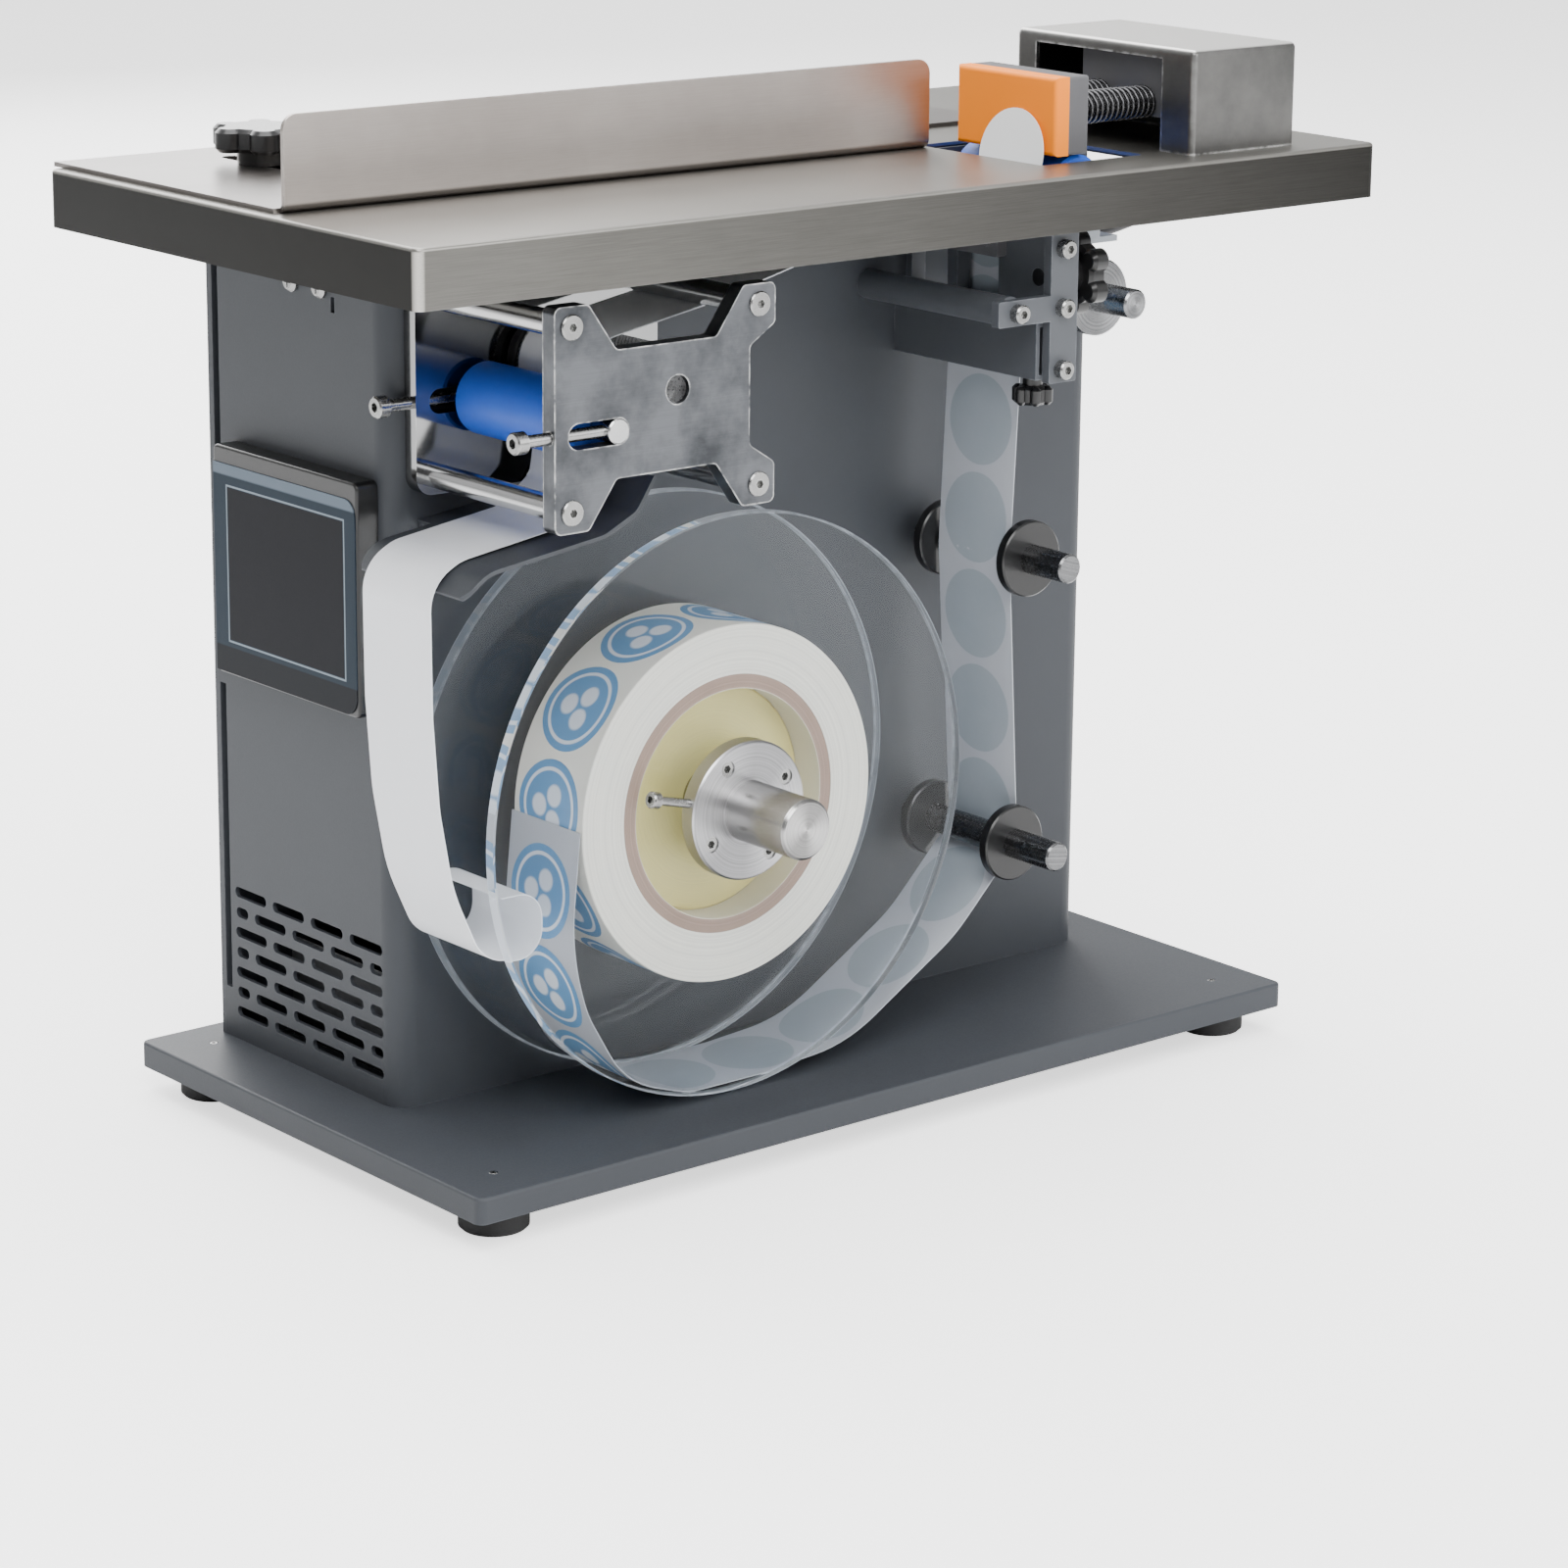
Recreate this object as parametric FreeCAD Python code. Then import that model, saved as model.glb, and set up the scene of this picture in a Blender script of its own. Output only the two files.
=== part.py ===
"""Corner labeling machine: a bench machine that feeds round labels from a reel to a peel edge
in a stainless table, where a pressed corner of a carton picks up the label.

Millimetres, +Z up. The label reel is on the -Y side, the operator panel on the -X end and the
pusher on the +X side of the table opening. The pieces are placed from the middle of the base plate
and moved to the origin, which is on the floor under the middle of the whole machine, at the end.
"""
import FreeCAD, Part
import math
import os

V = FreeCAD.Vector
X_AXIS = V(1, 0, 0)
Y_AXIS = V(0, 1, 0)
Z_AXIS = V(0, 0, 1)

# Clearances
SCREW_FIT = 0.05
RUNNING_FIT = 0.05
SOFT_GAP = 0.3
LIFT_GAP = 0.1

# Base plate and feet
BASE_X = 350.0
BASE_Y = 195.0
BASE_SKIRT = 8.6
BASE_SHEET = 2.0
BASE_CORNER_R = 3.0
BASE_EDGE_R = 1.0
FOOT_H = 9.0
FOOT_R = 11.3
FOOT_INSET_X = 18.0
FOOT_INSET_Y = 17.5
BASE_SCREW_R = 1.5
BASE_SCREW_L = 12.0
BASE_SOCKET = 1.5

# Cabinet
CABINET_LEFT_IN = 27.0
CABINET_RIGHT_IN = 22.5
CABINET_FRONT = -15.0
CABINET_DEPTH = 103.0
CABINET_H = 294.6
CABINET_SHEET = 1.5
CABINET_EDGE_R = 8.0
CABINET_FLANGE = 12.0
END_SLIT_Y_IN = 5.0
END_SLIT_LOW_UP = (17.4, 123.4)
END_SLIT_HIGH_DROP = (91.7, 4.0)
END_NOTCH_Y = (14.0, 16.0)
END_NOTCH_DROP = (37.6, 32.6)
END_SCREW_YS = (21.1, 37.2)
END_SCREW_DROP = 30.4
WALL_HOLE_SPARE = 2.0
CUT_GAP = 0.5

# Back cover screws, from the cover's ends, from the floor and from the table
BACK_SCREW_LEFT_IN = 9.0
BACK_SCREW_RIGHT_IN = 7.0
BACK_SCREW_LOW_UP = 16.4
BACK_SCREW_MID_SHARE = 0.46
BACK_SCREW_HIGH_DROP = 53.2
BACK_SCREW_CENTRE_X = 2.0
BACK_SCREW_CENTRE_DROP = 101.2
BACK_SCREW_TOP_XS = (-96.0, -61.0, 64.5, 100.0)
BACK_SCREW_TOP_DROP = 21.2

# Table brackets
BRACKET_Y = (18.0, 54.0)
BRACKET_LEG = 26.0
BRACKET_H = 40.0
BRACKET_SHEET = 2.0

# Vents in the left end
END_VENT_ROWS = 7
END_VENT_PITCH = 7.0
END_VENT_FIRST_UP = 10.2
END_VENT_LONG = 18.5
END_VENT_SHORT = 7.0
END_VENT_GAP = 4.0
END_VENT_H = 3.6
END_VENT_Y0 = -7.5

# Vents in the back cover
BACK_VENT_W = 3.0
BACK_VENT_H = 22.0
BACK_VENT_PITCH_X = 9.3
BACK_VENT_PITCH_Z = 27.0
BACK_VENT_COUNTS = (5, 4, 5, 4, 5)
BACK_VENT_GROUPS = ((89.0, 149.5), (31.0, 97.5))

# Table
TABLE_X = 400.0
TABLE_RIGHT_MARGIN = 27.5
TABLE_Y0 = -99.0
TABLE_Y = 204.0
TABLE_SHEET = 1.5
TABLE_LIP = 18.6
TABLE_CORNER_R = 3.0
OPENING_X = (71.0, 117.0)
OPENING_Y = (-75.0, -13.0)
OPENING_CORNER_R = 2.0
TABLE_SCREW_OUT = 12.5
TABLE_SCREW_Y = 38.7
TABLE_SCREW_R = 2.5
TABLE_SCREW_L = 12.0
TABLE_SCREW_HEAD_R = 5.0
TABLE_SCREW_HEAD_H = 1.0
TABLE_SOCKET = 3.0
TABLE_NUT = 8.0
TABLE_NUT_H = 4.0

# Fence
FENCE_END_GAP = 4.5
FENCE_RELIEF = 2.0
FENCE_BEND_R = 3.0
FENCE_WALL_X1 = 69.0
FENCE_FLANGE_X1 = 135.0
FENCE_FRONT = -21.0
FENCE_BACK = 109.0
FENCE_NOTCH_Y = 18.0
FENCE_SHEET = 1.5
FENCE_H = 30.0
FENCE_CORNER_R = 5.0
FENCE_SLOTS_X = (-139.0, 52.0)
FENCE_SLOT_Y = (-15.0, 85.0)
FENCE_SLOT_FIT = 0.2
FENCE_KNOB_Y = 67.0
KNOB_R = 17.0
KNOB_H = 11.0
KNOB_STUD_R = 3.0
KNOB_LOBES = 6
KNOB_WASHER_R = 8.0
KNOB_WASHER_T = 1.2
KNOB_TAIL = 10.0

# Pusher
HOUSING_X = (128.0, 177.0)
HOUSING_Y = (-86.5, 0.8)
HOUSING_H = 35.0
HOUSING_SHEET = 1.5
HOUSING_EDGE_R = 2.0
HOUSING_OPENING_Y = (-71.5, -9.3)
HOUSING_OPENING_H = 31.0
HOUSING_FOOT_D = 10.2
HOUSING_FOOT_T = 2.0
HOUSING_FOOT_HALF = 20.0
HOUSING_SCREW_PITCH = 22.0
HOUSING_SCREW_SHARE = 0.56
HOUSING_TAB_Y = (-10.0, -2.0)
HOUSING_TAB_T = 2.0
HOUSING_TAB_H = 20.7
HOUSING_TAB_DROP = 1.0
HOUSING_TAB_R = 1.5
TAB_SCREW_DROP = 8.0
TAB_SCREW_L = 3.2
PAD_X = (79.0, 85.0)
PAD_Y = (-72.5, -23.5)
PAD_EDGE_R = 1.5
PAD_LIFT = 1.8
PAD_H = 26.0
BLOCK_T = 8.4
BLOCK_EDGE_R = 1.0
ROD_OFF_CENTRE = 1.2
ROD_SET_IN = 3.0
ROD_TAIL = 0.8
ROD_R = 3.0
ROD_PITCH = 21.4
ROD_UP = 15.3
GUIDE_X0 = 133.0
GUIDE_L = 19.0
GUIDE_Y = (-72.0, -27.0)
GUIDE_BELOW_ROD = 5.0
SPRING_R = 5.7
SPRING_WIRE_R = 0.75
SPRING_TURNS = 10
CLIP_R = 5.0
CLIP_T = 1.5
SWITCH_SIZE = (19.0, 6.4, 10.2)
SWITCH_BUTTON_X = (4.0, 6.5)
SWITCH_BUTTON_W = 2.4
SWITCH_BUTTON_H = 1.0
SWITCH_LEGS_X = (9.0, 13.0, 17.0)
SWITCH_LEG_T = 0.8
SWITCH_LEG_W = 2.0
SWITCH_LEG_H = 3.0

# Loom from the pusher housing to the cabinet. Each point has its Y and its height above the table
# top. X counts from the housing, then from the table's edge, then as a share of the way to the gland.
LOOM_R = 1.6
LOOM_START = ((0.0, -4.0, 1.9), (10.0, -4.0, 1.9))
LOOM_BEND = ((-7.0, -2.0, 2.7), (3.5, 0.5, 2.1), (12.5, 3.0, -3.2), (17.7, 5.2, -12.2),
             (17.1, 7.2, -22.7), (10.9, 8.6, -31.5))
LOOM_RETURN = ((0.176, 9.6, -37.1), (0.378, 10.4, -39.7), (0.584, 10.9, -42.1), (0.794, 11.0, -42.7),
               (1.0, 11.0, -42.7))
GLAND_R = 5.0
GLAND_OUT = 9.5
GLAND_HEX = 11.5
GLAND_HEX_SHARE = 0.4
GLAND_NECK_L = 8.0
GLAND_NUT_T = 4.0

# Traction unit
PLATE_T = 6.0
UNIT_REAR = -21.0
UNIT_FRONT = -87.0
DRIVE_X = -94.9
DRIVE_DROP = 51.7
DRIVE_R = 12.6
DRIVE_JOURNAL_R = 4.0
DRIVE_JOURNAL_L = 8.0
DRIVE_Y = (-84.0, -26.5)
DRIVE_COLLAR_T = 4.5
DRIVE_SLIT = 1.2
DRIVE_COLLAR_R = 13.0
DRIVE_HUB_R = 8.0
PINCH_R = 11.6
PINCH_DROP = 10.3
PINCH_SHAFT_R = 3.95
PINCH_Y = (-84.0, -24.0)
PINCH_TRAVEL = 14.0
PINCH_SLOT_SPARE = 0.9
LEFT_ROD_OUT = 40.5
RIGHT_ROD_OUT = 31.9
TOP_ROD_UP = 23.3
LOW_ROD_DOWN = 33.4
TIE_ROD_R = 4.0
EAR = 6.4
TOP_WAIST_UP = 14.8
LOW_WAIST_DOWN = 24.9
RIGHT_WAIST_OUT = 28.3
WAIST_IN = 17.0
BACK_PLATE_OVER = 10.0
BACK_PLATE_RISE = 2.0
BACK_PLATE_R = 6.0
FRONT_PLATE_R = 2.4
ADJUST_R = 2.0
ADJUST_HEAD_R = 3.5
ADJUST_HEAD_H = 4.0
ADJUST_OUT = 9.5
BEARING_R = 7.0
BEARING_T = 3.0
MOTOR_SIDE = 57.0
MOTOR_L = 56.0
MOTOR_SHAFT_IN = 20.0
MOTOR_SHAFT_OUT = 27.0
MOTOR_END_T = 6.0
MOTOR_STACK_IN = 1.0
MOTOR_STACK_R = 6.0
MOTOR_END_R = 4.0

# Waste deflector
DEFLECTOR_T = 1.2
DEFLECTOR_Y = (-80.0, -22.0)
DEFLECTOR_TIP_OUT = 17.5
DEFLECTOR_TIP_R = 6.0
DEFLECTOR_RADII = (7.0, 12.0, 14.0)
DEFLECTOR_TOP = (1.5, 29.5)
DEFLECTOR_KNEE = (-5.5, 40.0)
DEFLECTOR_FOOT_X = -18.0
DEFLECTOR_ROD_GAP = 8.5
DEFLECTOR_RUN = ((-10.0, 6.0), (0.0, 13.0))
DEFLECTOR_ARM = (2.0, 22.0)
DEFLECTOR_FLANGE_H = 14.0

# Paper
PAPER_T = 0.3
PAPER_Y = (-65.0, -29.0)
LABEL_R = 15.5
LABEL_FRONT = 5.3
LABEL_RISE = 1.1
WEB_GAP = 1.7
WEB_TIP_DROP = 0.4
WEB_APPROACH = 62.0
WEB_APPROACH_R = 120.0

# Web between the roll and the lower post: shares of its hang below the reel's axis, then lengths
WEB_FLOOR_GAP = 2.9
WEB_SAG = ((0.0, -0.005), (-0.038, 0.394), (0.027, 0.629), (0.189, 0.906), (0.461, 0.998))
WEB_SAG_RADII = (0.839, 0.419, 0.356, 0.314)
WEB_FLAT = ((20.0, 0.2), (52.6, 2.5))
WEB_FLAT_R = 60.0
WEB_RISE = 27.5

# Spent liner below the chute's tip: shares of the span from the tip to the roll, and drops
LINER_TURN = (1.9, 0.7)
LINER_TURN_R = 0.6
LINER_NIP_RUN = 14.0
LINER_CHUTE = ((-3.6, 3.6), (-2.0, 0.6), (1.5, 0.6))
LINER_CHUTE_R = (16.0, 5.0, 12.0, 16.0)
LINER_TIP = (-2.6, 1.5)
LINER_HANG = ((-0.041, 40.0), (0.0, 70.0), (0.093, 97.0), (0.299, 121.5), (0.71, 124.5), (0.71, 102.0),
              (0.42, 102.0))
LINER_HANG_R = (14.0, 60.0, 60.0, 60.0, 14.0, 9.0, 9.0)

# Reel
REEL_X = -52.6
DISC_TOP_GAP = 8.3
DISC_ROLL_GAPS = (0.4, 0.8)
DISC_T = 4.5
DISC_FLOOR_GAP = 1.8
REEL_REAR = -24.0
ROLL_R = 59.3
ROLL_W = 36.3
CORE_T = 4.8
HUB_R = 38.1
HUB_W = 25.5
SHAFT_R = 10.0
SHAFT_FRONT = -106.0
SHAFT_REAR = 40.0
HUB_COLLAR_R = 23.0
HUB_COLLAR_T = 6.5
SET_SCREW_R = 2.6
SET_SCREW_RING_R = 17.5
SET_SCREW_SUNK = 0.5
SET_SCREW_FLOOR = 1.0
SET_SOCKET = 2.5
CLAMP_BOLT_R = 1.5
CLAMP_BOLT_OUT = 13.0
CLAMP_BOLT_DEG = 166.0
CLAMP_BOLT_HEAD_R = 2.75
CLAMP_BOLT_HEAD_H = 3.0
CLAMP_BOLT_IN = 5.0
REEL_BEARING_R = 16.0
REEL_BEARING_T = 8.0
REEL_BEARING_INSET = 1.5
SHAFT_OVERHANG = 2.0
BEARING_HOUSING_WALL = 6.0
BEARING_FLANGE_R = 32.0
BEARING_FLANGE_T = 6.0

# Guide posts
POST_R = 5.0
POST_COLLAR_R = 13.0
POST_COLLAR_T = 4.0
POST_COLLAR_GAP = 1.0
LOWER_POST_X = 70.0
LOWER_POST_UP = 63.8
LOWER_POST_L = 76.5
UPPER_POST_X = 75.0
UPPER_POST_DROP = 132.2
UPPER_POST_L = 74.0
SIDE_POST_X = 101.0
SIDE_POST_DROP = 45.4
SIDE_POST_L = 75.0
SIDE_DISC_FRONT = 57.5

# Peel unit, with drops below the table sheet
PEEL_PLATE_X = (65.0, 71.0)
PEEL_TIP_DROP = 1.4
PEEL_TIP_X = (0.2, 0.9)
PEEL_BEVEL_DROP = 17.0
PEEL_PLATE_DROP = 67.2
PEEL_WINDOWS_Y = ((-36.0, -18.0), (-61.5, -41.0))
PEEL_WINDOW_DROP = (30.0, 44.0)
PEEL_COVER_X0 = 60.0
PEEL_COVER_H = 19.0
PEEL_SHEET = 1.5
END_PLATE_T = 3.5
END_PLATE_Y = -86.0
END_BAR_X = (62.8, 74.8)
END_BAR_DROP = (14.2, 68.2)
END_ARM_X0 = 40.0
END_ARM_H = 8.5
END_PLATE_R = 0.8
END_SCREW_L = 8.0
END_SCREW_DROPS = (23.7, 63.7)
END_HEAD_R = 3.1
END_HEAD_H = 3.6
TIE_BAR = (48.0, 43.2)
PEEL_KNOB_GAP = 1.0
SIDE_KNOB_R = 14.0
SIDE_KNOB_H = 10.0
SIDE_KNOB_AT = (-81.0, 34.0)
LOWER_KNOB_Y = -76.0
LOWER_KNOB_R = 7.0
LOWER_KNOB_H = 9.0
LOWER_STUD_R = 2.5
LOWER_STUD_L = 8.0
SENSOR_SIZE = (4.0, 25.0, 10.0)
SENSOR_AT = (-65.0, 19.2)
SENSOR_EDGE_R = 0.8
SENSOR_HEAD_R = 1.8
SENSOR_HEAD_H = 0.8
SENSOR_HEAD_IN = 5.0

# Press roller
PRESS_X = 92.0
PRESS_R = 11.5
PRESS_Y = (-70.0, -20.0)
PRESS_AXLE_R = 3.0
PRESS_PAD_GAP = 0.5
PRESS_BRACKET_X = (87.0, 105.0)
PRESS_SHEET = 2.0
PRESS_SHELF_DROP = 24.2
PRESS_EAR_GAP = 4.0
PRESS_EAR_DROP = 3.0
PRESS_SPACER_WALL = 2.0
PRESS_AXLE_OVER = 1.0
PRESS_AXLE_GAP = 0.2

# Operator panel
HMI_Y = (-8.5, 74.0)
HMI_UP = (130.7, 207.0)
HMI_PROUD = 8.0
HMI_CORNER_R = 2.5
HMI_EDGE_R = 1.0
HMI_BODY_D = 24.0
HMI_BODY_IN = 5.0
FACE_Y = (-7.7, 73.3)
FACE_UP = (131.5, 201.3)
FACE_CORNER_R = 6.0
FACE_T = 1.4
FACE_SUNK = 1.0

# Electronics
BOARD_X = (0.0, 80.0)
BOARD_UP = (81.0, 166.0)
BOARD_T = 1.6
STANDOFF_L = 10.0
STANDOFF_R = 3.0
STANDOFF_IN = 5.0
BOARD_CHIP = ((12.0, 34.0), (14.0, 36.0), 9.0)
BOARD_PLUG_X = (42.0, 70.0)
BOARD_PLUG_IN = (8.0, 18.0)
BOARD_PLUG_H = 12.0
BOARD_CAN = (22.0, 24.0)
BOARD_CAN_R = 6.0
BOARD_CAN_H = 16.0
SUPPLY_LEFT_IN = 18.0
SUPPLY_L = 100.0
SUPPLY_Y = (2.0, 72.0)
SUPPLY_H = 35.0
SUPPLY_STRIP = 12.0
SUPPLY_STRIP_IN = 5.0
SUPPLY_SLOTS = 9
SUPPLY_SLOT_PITCH = 9.0
SUPPLY_SLOT_W = 4.0
SUPPLY_SLOT_IN = 12.0
SUPPLY_SLOT_D = 2.0
INLET_Y = (20.0, 48.0)
INLET_UP = (13.0, 66.0)
INLET_FLANGE_T = 2.5
INLET_FLANGE_R = 2.0
INLET_RIM = 1.75
INLET_FIT = 0.3
SOCKET_UP = (5.5, 22.5)
SOCKET_HALF_W = 10.0
SOCKET_D = 13.0
SOCKET_R = 2.0
BLADE_T = 1.6
BLADE_W = 4.0
BLADE_SHORT = 1.0
BLADES_AT = ((-5.5, -2.0), (0.0, 3.0), (5.5, -2.0))
INLET_BODY_D = 19.0
ROCKER_W = 12.0
ROCKER_H = 18.0
ROCKER_D = 8.0
ROCKER_TILT = 8.0
ROCKER_IN = 3.0
ROCKER_DROP = 13.0
ROCKER_PIN_R = 1.2
ROCKER_PIN_OUT = 1.0
ROCKER_DISH = 1.2
ROCKER_BACK = 2.0
ROCKER_SPARE = 1.5
ROCKER_PROUD = 1.0

# Screws
PAN_HEAD_R = 3.4
PAN_HEAD_H = 2.2
PAN_SHANK_R = 1.5
PAN_L = 7.0
CAP_SHANK_R = 2.0
TIE_SCREW_L = 14.0
TIE_HEAD_R = 4.0
TIE_HEAD_H = 0.9
TIE_SOCKET = 2.5
TIE_SOCKET_D = 1.8

# Levels and lines worked out from the sizes above
BASE_TOP = FOOT_H + BASE_SKIRT
TABLE_UNDER = BASE_TOP + CABINET_H
TABLE_TOP = TABLE_UNDER + TABLE_SHEET
CABINET_X0 = CABINET_LEFT_IN - BASE_X / 2
CABINET_X1 = BASE_X / 2 - CABINET_RIGHT_IN
CABINET_BACK = CABINET_FRONT + CABINET_DEPTH
COVER_FACE = CABINET_BACK - CABINET_SHEET
WALL_INSIDE = CABINET_FRONT + CABINET_SHEET
DRIVE_Z = TABLE_UNDER - DRIVE_DROP
DISC_TOP = DRIVE_Z - LOW_ROD_DOWN - EAR - DISC_TOP_GAP
DISC_R = (DISC_TOP - BASE_TOP - DISC_FLOOR_GAP) / 2
REEL_Z = DISC_TOP - DISC_R
PINCH_Z = DRIVE_Z - PINCH_DROP
NIP_SPACING = DRIVE_R + PINCH_R + PAPER_T + 2 * SOFT_GAP
PINCH_X = DRIVE_X - math.sqrt(NIP_SPACING ** 2 - PINCH_DROP ** 2)
PLATE_FRONT = UNIT_FRONT - PLATE_T
ROD_LEFT_X = DRIVE_X - LEFT_ROD_OUT
ROD_RIGHT_X = DRIVE_X + RIGHT_ROD_OUT
ROD_TOP_Z = DRIVE_Z + TOP_ROD_UP
ROD_LOW_Z = DRIVE_Z - LOW_ROD_DOWN
BLOCK_X = (PAD_X[1], PAD_X[1] + BLOCK_T)
PAD_Z0 = TABLE_TOP + PAD_LIFT
PAD_Z = (PAD_Z0, PAD_Z0 + PAD_H)
ROD_Z = TABLE_TOP + ROD_UP
ROD_MID_Y = (PAD_Y[0] + PAD_Y[1]) / 2 - ROD_OFF_CENTRE
ROD_YS = (ROD_MID_Y - ROD_PITCH / 2, ROD_MID_Y + ROD_PITCH / 2)
HOUSING_TOP = TABLE_TOP + HOUSING_H
HOUSING_ROOF = HOUSING_TOP - HOUSING_SHEET
PRESS_Z = PAD_Z0 - PRESS_PAD_GAP - PRESS_R
DISC_REAR_Y = (REEL_REAR - DISC_T, REEL_REAR)
ROLL_Y = (DISC_REAR_Y[0] - DISC_ROLL_GAPS[1] - ROLL_W, DISC_REAR_Y[0] - DISC_ROLL_GAPS[1])
DISC_FRONT_Y = (ROLL_Y[0] - DISC_ROLL_GAPS[0] - DISC_T, ROLL_Y[0] - DISC_ROLL_GAPS[0])
KNOB_STUD_TOP = TABLE_TOP + FENCE_SHEET + LIFT_GAP
TABLE_X1 = HOUSING_X[1] + TABLE_RIGHT_MARGIN
TABLE_X0 = TABLE_X1 - TABLE_X
TABLE_SCREW_X = CABINET_X1 + TABLE_SCREW_OUT
FENCE_X0 = TABLE_X0 + FENCE_END_GAP
LOWER_POST_Z = BASE_TOP + LOWER_POST_UP
UPPER_POST_Z = TABLE_UNDER - UPPER_POST_DROP
SIDE_POST_Z = TABLE_UNDER - SIDE_POST_DROP
SUPPLY_X = (CABINET_X0 + SUPPLY_LEFT_IN, CABINET_X0 + SUPPLY_LEFT_IN + SUPPLY_L)

# The origin is on the floor under the middle of the whole machine
ORIGIN = V(TABLE_X0 + TABLE_X / 2, (SHAFT_FRONT + FENCE_BACK) / 2, 0)


def box(x, y, z):
    """Box between two limits on each axis."""
    return Part.makeBox(x[1] - x[0], y[1] - y[0], z[1] - z[0], V(x[0], y[0], z[0]))


def edges_along(shape, direction):
    """Straight edges that run along a direction."""
    found = []
    for edge in shape.Edges:
        straight = isinstance(edge.Curve, Part.Line)
        if straight and abs(abs(edge.Curve.Direction.dot(direction)) - 1) < 1e-6:
            found.append(edge)
    return found


def rounded_box(x, y, z, radius, direction=Z_AXIS):
    """Box whose edges along one direction are rounded."""
    shape = box(x, y, z)
    return shape.makeFillet(radius, edges_along(shape, direction))


def place(shape, at, out):
    """Turn a shape made along +Z to point outwards and move it to its seat."""
    moved = shape.copy()
    moved.Placement = FreeCAD.Placement(at, FreeCAD.Rotation(Z_AXIS, out))
    return moved


def turned(profile, at, out):
    """Solid turned from (radius, height) points."""
    points = [V(r, 0, h) for r, h in profile]
    face = Part.Face(Part.makePolygon(points + [points[0]]))
    return place(face.revolve(V(0, 0, 0), Z_AXIS, 360), at, out)


def drum(radius, length, chamfer, at, out):
    """Cylinder with chamfered ends."""
    profile = [(0, 0), (radius - chamfer, 0), (radius, chamfer), (radius, length - chamfer),
               (radius - chamfer, length), (0, length)]
    return turned(profile, at, out)


def ring(outer, inner, length, chamfer, at, out):
    """Bored cylinder with chamfered rims."""
    profile = [(inner, 0), (outer - chamfer, 0), (outer, chamfer), (outer, length - chamfer),
               (outer - chamfer, length), (inner, length)]
    return turned(profile, at, out)


def rod(radius, length, at, out):
    """Plain cylinder, also used as the tool for a hole."""
    return Part.makeCylinder(radius, length, at, out)


def panel(points, y):
    """Outline in the XZ plane, extruded between two Y limits."""
    corners = [V(px, y[0], pz) for px, pz in points]
    face = Part.Face(Part.makePolygon(corners + [corners[0]]))
    return face.extrude(V(0, y[1] - y[0], 0))


def hexagon(across, depth, at, out):
    """Hexagonal prism for a socket."""
    corner_r = across / math.sqrt(3)
    corners = [V(corner_r * math.cos(math.radians(60 * k)), corner_r * math.sin(math.radians(60 * k)), 0)
               for k in range(7)]
    prism = Part.Face(Part.makePolygon(corners)).extrude(V(0, 0, depth))
    return place(prism, at, out)


def band(points, radii, thickness, y):
    """Sheet that follows points in the XZ plane, with an arc of its own radius at each turn."""
    sides = ([], [])
    last = [None, None]
    vertices = [V(px, 0, pz) for px, pz in points]
    for number in range(len(vertices)):
        if number in (0, len(vertices) - 1):
            step = vertices[1] - vertices[0] if number == 0 else vertices[-1] - vertices[-2]
            step.normalize()
            normal = V(-step.z, 0, step.x)
            ends = [vertices[number] + normal * (sign * thickness / 2) for sign in (1, -1)]
            for side in (0, 1):
                if last[side] is not None:
                    sides[side].append(Part.LineSegment(last[side], ends[side]).toShape())
                last[side] = ends[side]
            continue
        before = vertices[number] - vertices[number - 1]
        after = vertices[number + 1] - vertices[number]
        before.normalize()
        after.normalize()
        half_turn = before.getAngle(after) / 2
        radius = radii[number - 1]
        left_turn = (before.x * after.z - before.z * after.x) > 0
        inward = (after - before)
        inward.normalize()
        centre = vertices[number] + inward * (radius / math.cos(half_turn))
        start = vertices[number] - before * (radius * math.tan(half_turn))
        finish = vertices[number] + after * (radius * math.tan(half_turn))
        middle = centre - inward * radius
        for side, sign in ((0, 1), (1, -1)):
            grow = -sign if left_turn else sign
            share = (radius + grow * thickness / 2) / radius
            arc_start, arc_mid, arc_end = [centre + (p - centre) * share for p in (start, middle, finish)]
            sides[side].append(Part.LineSegment(last[side], arc_start).toShape())
            sides[side].append(Part.Arc(arc_start, arc_mid, arc_end).toShape())
            last[side] = arc_end
    first = [sides[0][0].Vertexes[0].Point, sides[1][0].Vertexes[0].Point]
    caps = [Part.LineSegment(first[0], first[1]).toShape(), Part.LineSegment(last[0], last[1]).toShape()]
    wire = Part.Wire(Part.__sortEdges__(sides[0] + sides[1] + caps))
    face = Part.Face(wire)
    face.translate(V(0, y[0], 0))
    return face.extrude(V(0, y[1] - y[0], 0))


def cord_path(points):
    """Straight runs joined by tangent arcs, each as large as its two runs allow."""
    edges = []
    last = points[0]
    radii = []
    for number in range(1, len(points) - 1):
        before = points[number] - points[number - 1]
        after = points[number + 1] - points[number]
        shorter = min(before.Length, after.Length)
        before.normalize()
        after.normalize()
        half_turn = before.getAngle(after) / 2
        radius = 0.45 * shorter / math.tan(half_turn)
        radii.append(radius)
        inward = (after - before)
        inward.normalize()
        centre = points[number] + inward * (radius / math.cos(half_turn))
        start = points[number] - before * (0.45 * shorter)
        finish = points[number] + after * (0.45 * shorter)
        edges.append(Part.LineSegment(last, start).toShape())
        edges.append(Part.Arc(start, centre - inward * radius, finish).toShape())
        last = finish
    edges.append(Part.LineSegment(last, points[-1]).toShape())
    return Part.Wire(edges), radii


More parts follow.
